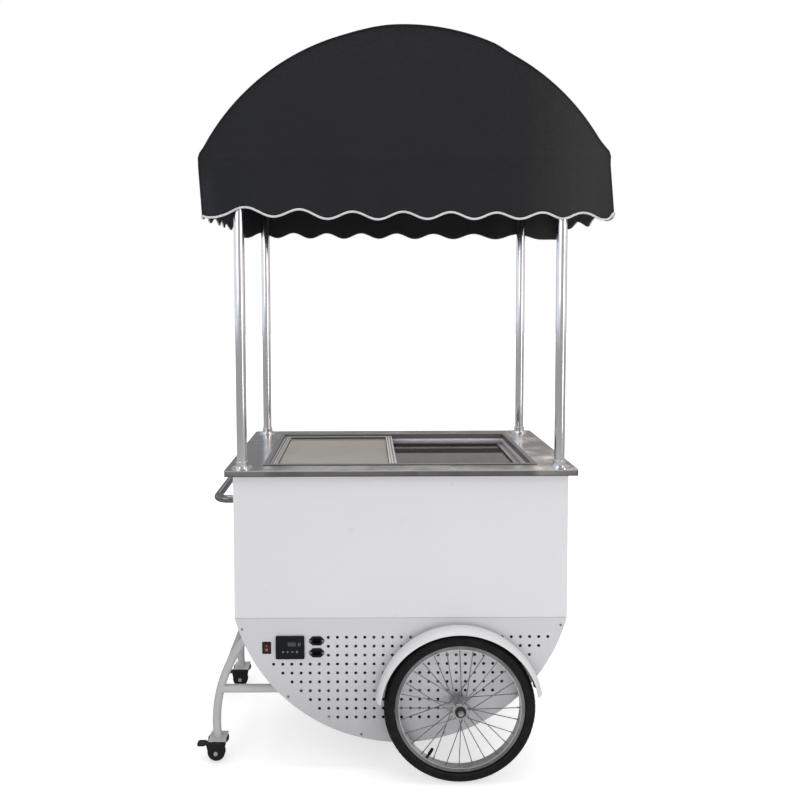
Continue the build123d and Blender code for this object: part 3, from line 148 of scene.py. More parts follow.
# %% Graphs
class Graph:
    """A node tree in which each call adds one node and gives back its output."""

    def __init__(self, tree):
        self.tree = tree

    def node(self, kind, settings=None, sockets=None, output=0):
        made = self.tree.nodes.new(kind)
        for name, value in (settings or {}).items():
            setattr(made, name, value)
        for key, value in (sockets or {}).items():
            if isinstance(value, Wire):
                self.tree.links.new(value.socket, made.inputs[key])
            else:
                made.inputs[key].default_value = value
        return Wire(self, made.outputs[output]) if made.outputs else None

    def ramp(self, value, low, high):
        sockets = {"Value": value, "From Min": low, "From Max": high}
        return self.node("ShaderNodeMapRange", {"interpolation_type": "SMOOTHSTEP"}, sockets)


print("graphs ready")

# %% Paint
def colour(red, green, blue):
    return (red, green, blue, 1.0)


def grey(level):
    return colour(level, level, level)


class Paint(Graph):
    """A material: numbers are set on its shader's sockets and wires are linked to them."""

    def __init__(self, name):
        self.material = bpy.data.materials.new(name)
        self.material.use_nodes = True
        super().__init__(self.material.node_tree)
        self.shader = self.tree.nodes["Principled BSDF"]
        self.place = self.node("ShaderNodeTexCoord", output="Object")

    def axis(self, letter, place=None):
        return self.node("ShaderNodeSeparateXYZ", None, {0: place or self.place}, letter)

    def shifted(self, scale=(1.0, 1.0, 1.0), offset=(0.0, 0.0, 0.0), place=None):
        sockets = {"Vector": place or self.place, "Scale": scale, "Location": offset}
        return self.node("ShaderNodeMapping", None, sockets)

    def noise(self, scale, detail=2.0, place=None):
        sockets = {"Vector": place or self.place, "Scale": scale, "Detail": detail}
        return self.node("ShaderNodeTexNoise", None, sockets)

    def sine(self, value):
        return self.node("ShaderNodeMath", {"operation": "SINE"}, {0: value})

    def size(self, value):
        return self.node("ShaderNodeMath", {"operation": "ABSOLUTE"}, {0: value})

    def reach(self, axle):
        """Distance from an axle that runs from front to back."""
        across = self.axis("X") - axle.x
        up = self.axis("Z") - axle.z
        return (across * across + up * up) ** 0.5

    def blend(self, share, first, second):
        return self.node("ShaderNodeMix", {"data_type": "RGBA"}, {0: share, 6: first, 7: second}, 2)

    def bump(self, height, distance, strength=1.0):
        sockets = {"Height": height, "Distance": distance, "Strength": strength}
        return self.node("ShaderNodeBump", None, sockets)

    def finish(self, **sockets):
        for name, value in sockets.items():
            socket = self.shader.inputs[name.replace("_", " ")]
            if isinstance(value, Wire):
                self.tree.links.new(value.socket, socket)
            else:
                socket.default_value = value
        return self.material


print("Principled sockets:", len(Paint("trial").shader.inputs))
bpy.data.materials.remove(bpy.data.materials["trial"])

# %% [markdown]
# ## The studio
# The picture has a pure white surround. A floor that is nearly white takes the cart's soft shadow, and the
# camera, and anything that looks through glass, sees a white room. What polished metal mirrors is that room
# too, but a real one isn't the same all round: it is brightest and a little blue on the window side, dimmer
# and warmer on the other, and that difference is what draws the lines down the poles.

# %% Floor
floor_reach = 30.0
floor_gap = 0.0006
floor_tone = 0.80
near_lift = 0.52
far_lift = 1.0
lift_start = 1.3
lift_end = 3.2

floor_mesh = bpy.data.meshes.new("floor")
floor_turns = ((-1, -1), (1, -1), (1, 1), (-1, 1))
floor_corners = [(x * floor_reach, y * floor_reach, -floor_gap) for x, y in floor_turns]
floor_mesh.from_pydata(floor_corners, [], [(0, 1, 2, 3)])
floor = bpy.data.objects.new("floor", floor_mesh)
scene.collection.objects.link(floor)
floor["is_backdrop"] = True

floor_white = bpy.data.materials.new("floor_white")
floor_white.use_nodes = True
floor_white.node_tree.nodes.clear()
ground = Graph(floor_white.node_tree)
in_view = ground.node("ShaderNodeLightPath", output="Is Camera Ray")
matt = ground.node("ShaderNodeBsdfDiffuse", None, {"Color": grey(floor_tone)})
spot = ground.node("ShaderNodeTexCoord", output="Object")
away = ground.node("ShaderNodeVectorMath", {"operation": "LENGTH"}, {0: spot}, "Value")
lift = ground.ramp(away, lift_start, lift_end) * (far_lift - near_lift) + near_lift
lifted = ground.node("ShaderNodeEmission", None, {"Strength": in_view * lift})
ground_sum = ground.node("ShaderNodeAddShader", None, {0: matt, 1: lifted})
ground.node("ShaderNodeOutputMaterial", None, {"Surface": ground_sum})
floor_mesh.materials.append(floor_white)
print("floor tone", floor_tone)

# %% Room
room_light = 0.48
mirror_front = 0.52
mirror_back = 0.38
mirror_left = 1.0
mirror_right = 0.95
mirror_top = 0.80

scene.world = bpy.data.worlds.new("room")
scene.world.use_nodes = True
scene.world.node_tree.nodes.clear()
room = Graph(scene.world.node_tree)
to_camera = room.node("ShaderNodeLightPath", output="Is Camera Ray")
to_mirror = room.node("ShaderNodeLightPath", output="Is Glossy Ray")
through = room.node("ShaderNodeLightPath", output="Is Transmission Ray")
heading = room.node("ShaderNodeTexCoord", output="Generated")
compass = [room.node("ShaderNodeSeparateXYZ", None, {0: heading}, letter) for letter in "XYZ"]
sideways, backward, upward = compass
mirrored = room.ramp(backward, -0.5, 0.3) * (mirror_back - mirror_front) + mirror_front
for share, level in (
    (room.ramp(sideways * -1, 0.35, 0.8), mirror_left),
    (room.ramp(sideways, 0.35, 0.8) * (1 - room.ramp(backward, 0.2, 0.6)), mirror_right),
    (room.ramp(upward, 0.3, 0.8), mirror_top),
):
    mirrored = mirrored + share * (level - mirrored)
brightness = to_camera + through + (to_mirror - through) * mirrored + (1 - to_camera - to_mirror) * room_light
tints = {0: room.ramp(sideways, -0.4, 0.4), 6: colour(0.90, 0.94, 1.0), 7: colour(1.0, 0.93, 0.91)}
tint = room.node("ShaderNodeMix", {"data_type": "RGBA"}, tints, 2)
air = room.node("ShaderNodeMix", {"data_type": "RGBA"}, {0: to_mirror - through, 6: grey(1.0), 7: tint}, 2)
sky = room.node("ShaderNodeBackground", None, {"Color": air, "Strength": brightness})
room.node("ShaderNodeOutputWorld", None, {"Surface": sky})
print("room light", room_light)

# %% [markdown]
# ## The lamps
# Five wide soft boxes stand where a photographer would put them: a large one in front and above on the
# left, a narrow one on the right, one overhead, one behind, and a low one in front that lights the skirt.
# Their power is set so that the white paint comes out about as bright as its colour is written. The low one
# is hidden from mirrors, because it would draw a bright block on the poles.

# %% Lamps
def soft_box(name, place, target, width, height, power):
    lamp = bpy.data.lights.new(name, "AREA")
    lamp.shape = "RECTANGLE"
    lamp.size = width
    lamp.size_y = height
    lamp.energy = power
    stand = bpy.data.objects.new(name, lamp)
    aim = (Vector(target) - Vector(place)).to_track_quat("-Z", "Y").to_matrix().to_4x4()
    stand.matrix_world = Matrix.Translation(place) @ aim
    scene.collection.objects.link(stand)
    return stand


key_box = soft_box("key_box", (-2.4, -3.4, 2.65), (0.0, 0.0, 1.1), 2.4, 2.4, 25.0)
fill_box = soft_box("fill_box", (2.8, -2.6, 2.0), (0.2, 0.0, 1.2), 0.8, 3.0, 24.0)
top_box = soft_box("top_box", (0.0, -0.4, 4.4), (0.0, 0.0, 1.0), 3.0, 1.6, 50.0)
back_box = soft_box("back_box", (0.6, 3.4, 3.0), (0.0, 0.0, 1.1), 3.0, 1.6, 32.0)
low_box = soft_box("low_box", (0.3, -4.2, 0.9), (0.0, 0.0, 0.8), 3.5, 1.4, 42.0)
low_box.visible_glossy = False
print("lamps:", [lamp.name for lamp in (key_box, fill_box, top_box, back_box, low_box)])

# %% [markdown]
# ## Painted sheet metal
# The cabinet, the skirts, the fenders and the legs are powder coated white. Powder coat melts into a fine
# orange peel, so the finish gets a tiny bump, a slow cloudiness in its colour, and dust that thickens
# towards the road; the skirts and the belly also get darker towards the bottom. Shade is painted in as near
# black in three places: the cut walls of the vent holes with the skirts' inner sides, the belly's inner
# side, and the fenders' undersides. Each is found by measuring: a wall faces sideways, an inner side faces
# in or up, and an underside is inside the fender's dome.

# %% White paint
dust_tone = colour(0.36, 0.34, 0.31)
painted_shade_tone = grey(0.012)
fender_dome = 0.016
fender_flange = 0.007
fender_drop = 0.006
fender_centre = front_axle - Vector((0.0, 0.0, fender_drop))


# Painted shade: the fender's underside, inside its dome, is painted near black.
def shade_under_dome(paint):
    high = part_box("fenders")[1]
    dome_half = (high.y - fender_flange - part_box("back_skirt")[1].y) / 2
    dome_radius = (dome_half ** 2 + fender_dome ** 2) / (2 * fender_dome)
    off_ring = paint.reach(fender_centre) - (high.z - fender_centre.z - dome_radius)
    off_side = paint.size(paint.axis("Y")) - (high.y - dome_half)
    depth = (off_ring * off_ring + off_side * off_side) ** 0.5
    return 1 - paint.ramp(depth, dome_radius - 0.0014, dome_radius - 0.0006)


# Painted shade: the cut walls of the vent holes and the skirts' inner sides are painted near black.
def hole_and_inner_shade(paint):
    low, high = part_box("front_skirt")
    sag = high.z - low.z
    arc = ((high.x - low.x) ** 2 / 4 + sag ** 2) / (2 * sag)
    arc_centre = Vector((middle("front_skirt").x, 0.0, low.z + arc))
    inside = 1 - paint.ramp(paint.reach(arc_centre), arc - 0.004, arc - 0.003)
    facing = paint.axis("Y", paint.node("ShaderNodeNewGeometry", output="Normal"))
    wall = inside * (1 - paint.ramp(paint.size(facing), 0.3, 0.6))
    wall = wall * (1 - paint.ramp(paint.axis("Z"), high.z - 0.004, high.z - 0.003))
    inner_side = 1 - paint.ramp(facing * paint.axis("Y"), -0.2, -0.1)
    return wall + inner_side


# Painted shade: the belly's inner side, which faces up, is painted near black.
def belly_inner_shade(paint):
    return paint.ramp(paint.axis("Z", paint.node("ShaderNodeNewGeometry", output="Normal")), 0.05, 0.15)


def powder_coat(name, tone, dust_top, dust_share, low_tone=None, shade_mask=None):
    paint = Paint(name)
    height = paint.axis("Z")
    clouds = paint.noise(3.0, 3.0)
    pale, deep = (colour(*(share * part for part in tone)) for share in (1.03, 0.97))
    base = paint.blend(clouds, deep, pale)
    if low_tone:
        base = paint.blend(1 - paint.ramp(height, 0.08, 0.45), base, colour(*low_tone))
    specks = paint.ramp(paint.noise(60.0, 6.0), 0.42, 0.72)
    soil = (1 - paint.ramp(height, 0.02, dust_top)) * specks * dust_share
    base = paint.blend(soil, base, dust_tone)
    # Where the mask says, shade is painted in as near black.
    if shade_mask:
        base = paint.blend(shade_mask(paint), base, painted_shade_tone)
    peel = paint.noise(380.0, 2.0)
    return paint.finish(
        Base_Color=base,
        Roughness=paint.noise(14.0, 4.0) * 0.12 + 0.24 + soil * 0.3,
        Normal=paint.bump(peel, 0.0004, 0.25),
        Coat_Weight=0.25,
        Coat_Roughness=0.12,
    )


cabinet_white = powder_coat("cabinet_white", (0.70, 0.70, 0.725), 0.30, 0.10)
skirt_white = powder_coat("skirt_white", (0.60, 0.60, 0.615), 0.35, 0.20, (0.45, 0.45, 0.465), hole_and_inner_shade)
belly_white = powder_coat("belly_white", (0.60, 0.60, 0.615), 0.35, 0.20, (0.45, 0.45, 0.465), belly_inner_shade)
fender_white = powder_coat("fender_white", (0.71, 0.71, 0.722), 0.45, 0.20, None, shade_under_dome)
leg_white = powder_coat("leg_white", (0.485, 0.485, 0.495), 0.40, 0.35)
print("paints:", cabinet_white.name, skirt_white.name, fender_white.name, leg_white.name)

# %% [markdown]
# ## Bare metal
# The counter is stainless steel brushed along its length: its scratches are a noise pulled long in one
# direction, which tells the roughness and the bump. Hands and water leave dull patches on top of that. The
# poles and the handle are polished tube, so they only have a faint haze. What shows on the poles is the
# room; the handle's steel is made much darker than theirs, as a painted dark reflection.

# %% Steel and copper
def brushed(name, tone, dull_tone, pull, smear_scale, low_rough, high_rough, scratch=0.25,
            cap=None, cap_tone=None):
    metal = Paint(name)
    lines = metal.noise(1.0, 5.0, metal.shifted(pull))
    smears = metal.ramp(metal.noise(smear_scale, 5.0), 0.38, 0.66)
    base = metal.blend(smears * 0.8 + lines * 0.2, colour(*tone), colour(*dull_tone))
    if cap:
        base = metal.blend(cap(metal), base, colour(*cap_tone))
    return metal.finish(
        Base_Color=base,
        Metallic=1.0,
        Roughness=low_rough + lines * 0.10 + smears * (high_rough - low_rough),
        Normal=metal.bump(lines, 0.0003, scratch),
    )


def lit_rim_well(metal):
    """The rim's inner face, towards the hub, painted bright as a painted reflection."""
    inner = min((vert.co - front_axle).xz.length for vert in nodes["front_rim"].data.vertices)
    return 1 - metal.ramp(metal.reach(front_axle), inner + 0.001, inner + 0.002)


pole_steel = brushed("pole_steel", (0.80, 0.80, 0.81), (0.73, 0.73, 0.75),
                     (160.0, 160.0, 1.5), 14.0, 0.05, 0.10, 0.0)
# The handle's steel is much darker than the poles': a painted dark reflection.
grip_steel = brushed("grip_steel", (0.18, 0.18, 0.185), (0.12, 0.12, 0.125),
                     (160.0, 1.5, 160.0), 14.0, 0.09, 0.15, 0.0)
liner_metal = brushed("liner_metal", (0.40, 0.40, 0.405), (0.30, 0.30, 0.305),
                      (120.0, 120.0, 5.0), 6.0, 0.30, 0.42)
spoke_metal = brushed("spoke_metal", (0.30, 0.30, 0.31), (0.16, 0.16, 0.17),
                      (90.0, 90.0, 90.0), 20.0, 0.18, 0.30)
# The rim's inner face is painted bright: a painted reflection.
rim_metal = brushed("rim_metal", (0.28, 0.285, 0.29), (0.19, 0.195, 0.20),
                    (40.0, 220.0, 40.0), 18.0, 0.26, 0.40,
                    0.25, lit_rim_well, (0.80, 0.80, 0.79))
screw_metal = brushed("screw_metal", (0.30, 0.30, 0.30), (0.20, 0.20, 0.20),
                      (200.0, 200.0, 200.0), 30.0, 0.26, 0.42)
nut_metal = brushed("nut_metal", (0.50, 0.50, 0.49), (0.36, 0.36, 0.35),
                    (200.0, 200.0, 200.0), 30.0, 0.24, 0.40)
zinc_sheet = brushed("zinc_sheet", (0.52, 0.53, 0.54), (0.40, 0.41, 0.42),
                     (60.0, 60.0, 60.0), 28.0, 0.36, 0.52)
copper_tube = brushed("copper_tube", (0.72, 0.36, 0.22), (0.50, 0.24, 0.15),
                      (80.0, 80.0, 80.0), 24.0, 0.26, 0.44)
fin_metal = brushed("fin_metal", (0.66, 0.66, 0.65), (0.50, 0.50, 0.49),
                    (300.0, 4.0, 300.0), 20.0, 0.34, 0.46)
frame_metal = brushed("frame_metal", (0.34, 0.34, 0.35), (0.26, 0.26, 0.27),
                      (90.0, 90.0, 90.0), 22.0, 0.34, 0.48)
print("bare metals:", pole_steel.name, rim_metal.name, copper_tube.name)

# %% Counter and lid frames
counter_low, counter_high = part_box("countertop")
counter_middle = middle("countertop")
counter = Paint("counter_steel")
grain = counter.noise(1.0, 5.0, counter.shifted((3.0, 260.0, 260.0)))
smears = counter.ramp(counter.noise(9.0, 5.0), 0.38, 0.66)
# The counter's ends are painted lighter, the right one also in patches: painted reflection.
lit_ends = [counter.ramp((counter.axis("X") - counter_middle.x) * side, 0.41, 0.45) for side in (-1, 1)]
lit_patches = counter.ramp(counter.noise(4.5, 6.0), 0.42, 0.62) * lit_ends[1]
past_end = counter.size(counter.axis("X") - counter_middle.x) - (counter_high.x - counter_middle.x)
past_side = counter.size(counter.axis("Y")) - counter_high.y
near_end, near_side = (counter.ramp(past, -0.004, -0.001) for past in (past_end, past_side))
near_top = counter.ramp(counter.axis("Z"), counter_high.z - 0.005, counter_high.z - 0.002)
# A painted highlight runs along the counter's top edges.
arris_highlight = (near_end + near_side - near_end * near_side) * near_top
foot = near_side * (1 - counter.ramp(counter.axis("Z"), counter_low.z + 0.002, counter_low.z + 0.006))
steel = counter.blend(smears * 0.8 + grain * 0.2, colour(0.25, 0.243, 0.235), colour(0.16, 0.154, 0.148))
steel = counter.blend(lit_ends[0] * 0.5 + lit_ends[1] * 0.5, steel, colour(0.42, 0.41, 0.40))
steel = counter.blend(lit_patches * 0.8, steel, colour(0.84, 0.80, 0.76))
# Painted shade: the counter's front and back drops are darkened, most along their bottom edge.
steel = counter.blend(near_side * (1 - near_top) * 0.35 + foot * 0.4, steel, grey(0.10))
counter_steel = counter.finish(
    Base_Color=counter.blend(arris_highlight * 0.6, steel, grey(0.70)),
    Metallic=1.0,
    Roughness=0.11 + grain * 0.08 + smears * 0.12,
    Normal=counter.bump(grain, 0.0003, 0.25),
)


def drawn_metal(side):
    """Lid frame metal, painted near black as shade in the grooves of its profile and on the walls below them.
    """
    metal = Paint(f"{side}_lid_metal")
    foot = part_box(f"{side}_lid_frame")[0].z
    # Painted shade: the grooves and the walls below them are painted near black.
    groove_shade = 1 - metal.ramp(metal.axis("Z"), foot + 0.0134, foot + 0.0152)
    drawn = metal.noise(1.0, 4.0, metal.shifted((90.0, 90.0, 400.0)))
    tone = metal.blend(drawn, colour(0.50, 0.485, 0.48), colour(0.36, 0.35, 0.345))
    return metal.finish(
        Base_Color=metal.blend(groove_shade, tone, colour(0.055, 0.052, 0.050)),
        Metallic=1 - groove_shade * 0.6,
        Roughness=0.24 + drawn * 0.12 + groove_shade * 0.2,
        Normal=metal.bump(drawn, 0.0002, 0.2),
    )


lid_metals = {side: drawn_metal(side) for side in ("left", "right")}
print("metals:", sum(1 for made in bpy.data.materials if made.name.split("_")[-1] in ("steel", "metal")))

# %% [markdown]
# ## Plastics, rubber, glass and foam
# Moulded parts have a fine grain that keeps them from looking wet. The casters' rubber goes grey where it
# picks up dust. The left lid's glass is milky, the right one is clear and dark, and both have a few
# smears. The lid track is white only below, because the counter's steel is folded down over its upper
# part.

# %% Moulded parts
def moulded(name, tone, worn_tone, grain, low_rough, high_rough, wear=0.35, cap=None, cap_tone=None):
    plastic = Paint(name)
    worn = plastic.ramp(plastic.noise(26.0, 6.0), 0.45, 0.78) * wear
    base = plastic.blend(worn, colour(*tone), colour(*worn_tone))
    if cap:
        base = plastic.blend(cap(plastic), base, colour(*cap_tone))
    return plastic.finish(
        Base_Color=base,
        Roughness=plastic.noise(48.0, 4.0) * (high_rough - low_rough) + low_rough,
        Normal=plastic.bump(plastic.noise(grain, 3.0), 0.0003, 0.35),
        Specular_IOR_Level=0.16,
    )


def bolt_head(paint):
    """The bolt in the casters' axles, which lie in one line."""
    radius, edge = 0.0068, 0.0073
    return 1 - paint.ramp(paint.reach(middle("front_caster_wheel")), radius, edge)


def folded_rim(paint):
    """The steel that turns down into the opening, over the upper part of the track."""
    return paint.ramp(paint.axis("Z"), counter_high.z - 0.0165, counter_high.z - 0.0160)


case_black = moulded("case_black", (0.005, 0.0065, 0.008), (0.010, 0.012, 0.014), 900.0, 0.34, 0.50)
pedal_black = moulded("pedal_black", (0.010, 0.010, 0.011), (0.04, 0.038, 0.036), 500.0, 0.38, 0.56)
fork_black = moulded("fork_black", (0.010, 0.010, 0.011), (0.04, 0.038, 0.036), 300.0, 0.34, 0.52, 0.35,
                     bolt_head, (0.34, 0.34, 0.34))
tread_black = moulded("tread_black", (0.014, 0.014, 0.014), (0.06, 0.056, 0.052), 260.0, 0.62, 0.85, 0.6)
compressor_black = moulded("compressor_black", (0.012, 0.012, 0.013), (0.03, 0.03, 0.03), 200.0, 0.24, 0.36)
rocker_red = moulded("rocker_red", (0.072, 0.010, 0.013), (0.052, 0.008, 0.010), 700.0, 0.24, 0.38)
key_grey = moulded("key_grey", (0.012, 0.014, 0.016), (0.022, 0.024, 0.026), 900.0, 0.40, 0.55)
mark_grey = moulded("mark_grey", (0.34, 0.36, 0.38), (0.26, 0.28, 0.30), 900.0, 0.45, 0.60)
mark_pale = moulded("mark_pale", (0.62, 0.52, 0.50), (0.50, 0.40, 0.38), 900.0, 0.45, 0.60)
track_white = moulded("track_white", (0.90, 0.88, 0.95), (0.78, 0.77, 0.83), 600.0, 0.28, 0.42, 0.35,
                      folded_rim, (0.16, 0.153, 0.147))
foam_cream = moulded("foam_cream", (0.62, 0.55, 0.38), (0.48, 0.42, 0.28), 160.0, 0.80, 0.95, 0.7)
blade_grey = moulded("blade_grey", (0.40, 0.41, 0.42), (0.30, 0.31, 0.32), 400.0, 0.34, 0.48)
piping_white = moulded("piping_white", (0.64, 0.64, 0.65), (0.48, 0.47, 0.46), 500.0, 0.38, 0.55, 0.5)
print("moulded:", case_black.name, rocker_red.name, track_white.name)

# %% Glass and screen
def window_glass(name, tint, smeared_tint, film):
    """Glass whose film, from 0 to 1, is how milky it is."""
    glass = Paint(name)
    smears = glass.ramp(glass.noise(7.0, 5.0), 0.5, 0.72)
    return glass.finish(
        Base_Color=glass.blend(smears, colour(*tint), colour(*smeared_tint)),
        Roughness=smears * 0.05 + 0.02,
        Transmission_Weight=1 - film,
        IOR=1.50,
    )


hazy_pane = window_glass("hazy_pane", (0.93, 0.865, 0.785), (0.84, 0.78, 0.71), 0.45)
clear_pane = window_glass("clear_pane", (0.42, 0.42, 0.385), (0.37, 0.37, 0.34), 0.04)
screen = Paint("screen")
screen_grey = screen.finish(
    Base_Color=screen.blend(screen.noise(90.0), colour(0.050, 0.055, 0.058), colour(0.068, 0.073, 0.076)),
    Roughness=0.16 + screen.noise(160.0) * 0.08,
    Coat_Weight=0.4,
)
print("glass:", hazy_pane.name, clear_pane.name)

# %% [markdown]
# ## Rubber and hubs
# Dust sits in the valleys of a tyre, away from the road's scrubbing, so the tyre's finish measures how far
# a point is from the axle. The same distance paints the hub: a black dust seal covers only the ring at its
# outer end.

# %% Tyres and hubs
rubber = Paint("tyre_rubber")
scrubbed = rubber.ramp(rubber.reach(front_axle), 0.236, 0.244)
dusty = rubber.ramp(rubber.noise(34.0, 6.0), 0.40, 0.75) * (0.75 - scrubbed * 0.35)
tyre_rubber = rubber.finish(
    Base_Color=rubber.blend(dusty * 0.4, colour(0.004, 0.004, 0.0044), colour(0.024, 0.0225, 0.021)),
    Roughness=0.52 + rubber.noise(60.0, 4.0) * 0.25,
    Normal=rubber.bump(rubber.noise(420.0, 3.0), 0.0005, 0.4),
    Specular_IOR_Level=0.22,
)

seal_inner = 0.0092
seal_outer = 0.0181
seal_start = 0.0284
hub = Paint("hub_metal")
turned = hub.reach(front_axle)
off_side = hub.size(hub.axis("Y")) - abs(front_axle.y)
sealed = hub.ramp(turned, seal_inner - 0.0002, seal_inner)
sealed = sealed * (1 - hub.ramp(turned, seal_outer, seal_outer + 0.0003))
sealed = sealed * hub.ramp(off_side, seal_start - 0.0002, seal_start)
lathe_lines = hub.noise(1.0, 3.0, hub.shifted((30.0, 1600.0, 30.0)))
hub_metal = hub.finish(
    Base_Color=hub.blend(sealed, colour(0.44, 0.445, 0.45), colour(0.010, 0.010, 0.011)),
    Metallic=1 - sealed,
    Roughness=0.22 + lathe_lines * 0.16 + sealed * 0.3,
    Normal=hub.bump(lathe_lines, 0.0002, 0.2),
)
print("front axle at", [round(part, 4) for part in front_axle])

# %% [markdown]
# ## Canvas
# The canopy is black coated canvas. Each piece of cloth carries its own UV map in metres, so the weave
# follows the cloth and not the world: two sines, one along each thread, give the plain weave. Sun and dust
# lift the black to a charcoal in slow patches, and the coating keeps a low sheen. The right end is painted
# lighter, as painted light from the right, and the left corner of the valance has a painted blue tinge of
# light from the sky.

# %% Black canvas
thread_pitch = 0.0016
thread_turn = tau / thread_pitch
lit_right_x = (0.36, 0.64)
skylit_x = (-0.585, -0.545)
skylit_z = (1.88, 2.00)


def canvas(name, tone, faded_tone, lit_right_tone, skylit_tone):
    cloth = Paint(name)
    weave_map = cloth.node("ShaderNodeUVMap", {"uv_map": "weave"})
    over = cloth.sine(cloth.axis("X", weave_map) * thread_turn)
    under = cloth.sine(cloth.axis("Y", weave_map) * thread_turn)
    slubs = cloth.noise(1.0, 4.0, cloth.shifted((9.0, 160.0, 160.0)))
    faded = cloth.ramp(cloth.noise(2.6, 5.0), 0.40, 0.70) * 0.7 + slubs * 0.3
    # The right end is painted lighter: painted light from the right. The left corner is painted bluer:
    # painted sky light.
    lit_right = cloth.ramp(cloth.axis("X"), *lit_right_x)
    skylit = (1 - cloth.ramp(cloth.axis("X"), *skylit_x)) * (1 - cloth.ramp(cloth.axis("Z"), *skylit_z))
    base = cloth.blend(faded, colour(*tone), colour(*faded_tone))
    base = cloth.blend(skylit, base, colour(*skylit_tone))
    return cloth.finish(
        Base_Color=cloth.blend(lit_right, base, colour(*lit_right_tone)),
        Roughness=0.70 + faded * 0.14,
        Normal=cloth.bump(over * under + slubs * 0.6, 0.0004, 0.5),
        Specular_IOR_Level=0.28,
        Sheen_Weight=0.06,
        Sheen_Roughness=0.5,
    )


canopy_canvas = canvas("canopy_canvas", (0.0076, 0.0082, 0.0098), (0.0112, 0.0116, 0.0130),
                       (0.0265, 0.0265, 0.0265), (0.0125, 0.0145, 0.0200))
thread_grey = moulded("thread_grey", (0.045, 0.045, 0.048), (0.06, 0.06, 0.062), 800.0, 0.6, 0.8)
print("threads per metre:", round(1 / thread_pitch))

# %% [markdown]
# ## Finishes for the solids
# A solid that already has the right shape keeps it and only gets its finish. One table says which solid
# takes which finish, and a loop puts it into the solid's material slot.

# %% Dress the solids
finishes = {
    cabinet_white: ["front_panel", "back_panel", "end_panels", "base_frame"],
    belly_white: ["belly_panel"],
    skirt_white: ["front_skirt", "back_skirt"],
    fender_white: ["fenders"],
    leg_white: ["caster_legs", "leg_braces"],
    zinc_sheet: ["cabinet_floor", "machine_tray"],
    nut_metal: ["wheel_axle"],
    counter_steel: ["countertop"],
    pole_steel: ["canopy_poles", "pole_flanges"],
    grip_steel: ["push_handle"],
    liner_metal: ["freezer_liner"],
    foam_cream: ["insulation"],
    copper_tube: ["evaporator_coil", "refrigerant_pipes"],
    track_white: ["lid_track"],
    frame_metal: ["canopy_rails", "canopy_bows"],
    case_black: ["switch_housing", "controller_case", "power_inlets"],
    screen_grey: ["controller_display"],
    compressor_black: ["compressor", "fan_motor"],
    fin_metal: ["condenser"],
    blade_grey: ["fan_blade"],
    rim_metal: ["front_rim", "rear_rim"],
    spoke_metal: ["front_spokes", "rear_spokes"],
    hub_metal: ["front_hub", "rear_hub"],
    fork_black: ["front_caster_fork", "rear_caster_fork"],
    tread_black: ["front_caster_wheel", "rear_caster_wheel"],
    pedal_black: ["front_caster_pedal", "rear_caster_pedal"],
    hazy_pane: ["left_lid_glass"],
    clear_pane: ["right_lid_glass"],
    rocker_red: ["switch_rocker"],
    key_grey: [f"controller_key_{number}" for number in range(1, 5)],
}
for finish, names in finishes.items():
    for name in names:
        nodes[name].data.materials.clear()
        nodes[name].data.materials.append(finish)
print("dressed:", sum(len(names) for names in finishes.values()), "of", len(nodes))

# %% [markdown]
# ## Making and seating pieces
# Every new piece is a plain mesh in the frame's own metres. Two helpers do the chores: one makes the object
# from points and faces, the other gives it its finish and says which body carries it and which solids it
# stands for.

# %% Make and seat
def make_piece(name, points, faces, smooth=True):
    mesh = bpy.data.meshes.new(name)
    mesh.from_pydata(points, [], faces)
    mesh.polygons.foreach_set("use_smooth", [smooth] * len(mesh.polygons))
    mesh.update()
    piece = bpy.data.objects.new(name, mesh)
    scene.collection.objects.link(piece)
    return piece


def seat(piece, body, finish, slot, *stands_for):
    piece.data.materials.clear()
    piece.data.materials.append(finish)
    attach(piece, body)
    if stands_for:
        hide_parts(*stands_for)
    return piece


def weld(piece, gap=0.00001):
    """Merge doubles and turn every face outwards."""
    shell = bmesh.new()
    shell.from_mesh(piece.data)
    bmesh.ops.remove_doubles(shell, verts=shell.verts, dist=gap)
    bmesh.ops.recalc_face_normals(shell, faces=shell.faces)
    shell.to_mesh(piece.data)
    shell.free()
    return piece


print("helpers for pieces ready")

# %% [markdown]
# ## Geometry Nodes for what repeats
# Piping, seams, stitches, tread and screws are one small shape repeated or pulled along a line. A class
# builds such a tree with named inputs, and a function runs it on a base mesh and keeps only the plain mesh
# that comes out.

# %% Trees and how to run them
class Maker(Graph):
    """A Geometry Nodes tree with named inputs."""

    def __init__(self, name, **inputs):
        tree = bpy.data.node_groups.new(name, "GeometryNodeTree")
        tree.interface.new_socket("Geometry", in_out="INPUT", socket_type="NodeSocketGeometry")
        for label, kind in inputs.items():
            tree.interface.new_socket(label, in_out="INPUT", socket_type="NodeSocket" + kind)
        tree.interface.new_socket("Geometry", in_out="OUTPUT", socket_type="NodeSocketGeometry")
        super().__init__(tree)
        self.entry = tree.nodes.new("NodeGroupInput")

    def given(self, label):
        return Wire(self, self.entry.outputs[label])

    def deliver(self, shape, smooth):
        real = self.node("GeometryNodeRealizeInstances", None, {"Geometry": shape})
        shaded = self.node("GeometryNodeSetShadeSmooth", None, {"Geometry": real, "Shade Smooth": smooth})
        coat = {"Geometry": shaded, "Material": self.given("Finish")}
        dressed = self.node("GeometryNodeSetMaterial", None, coat)
        self.node("NodeGroupOutput", None, {"Geometry": dressed})


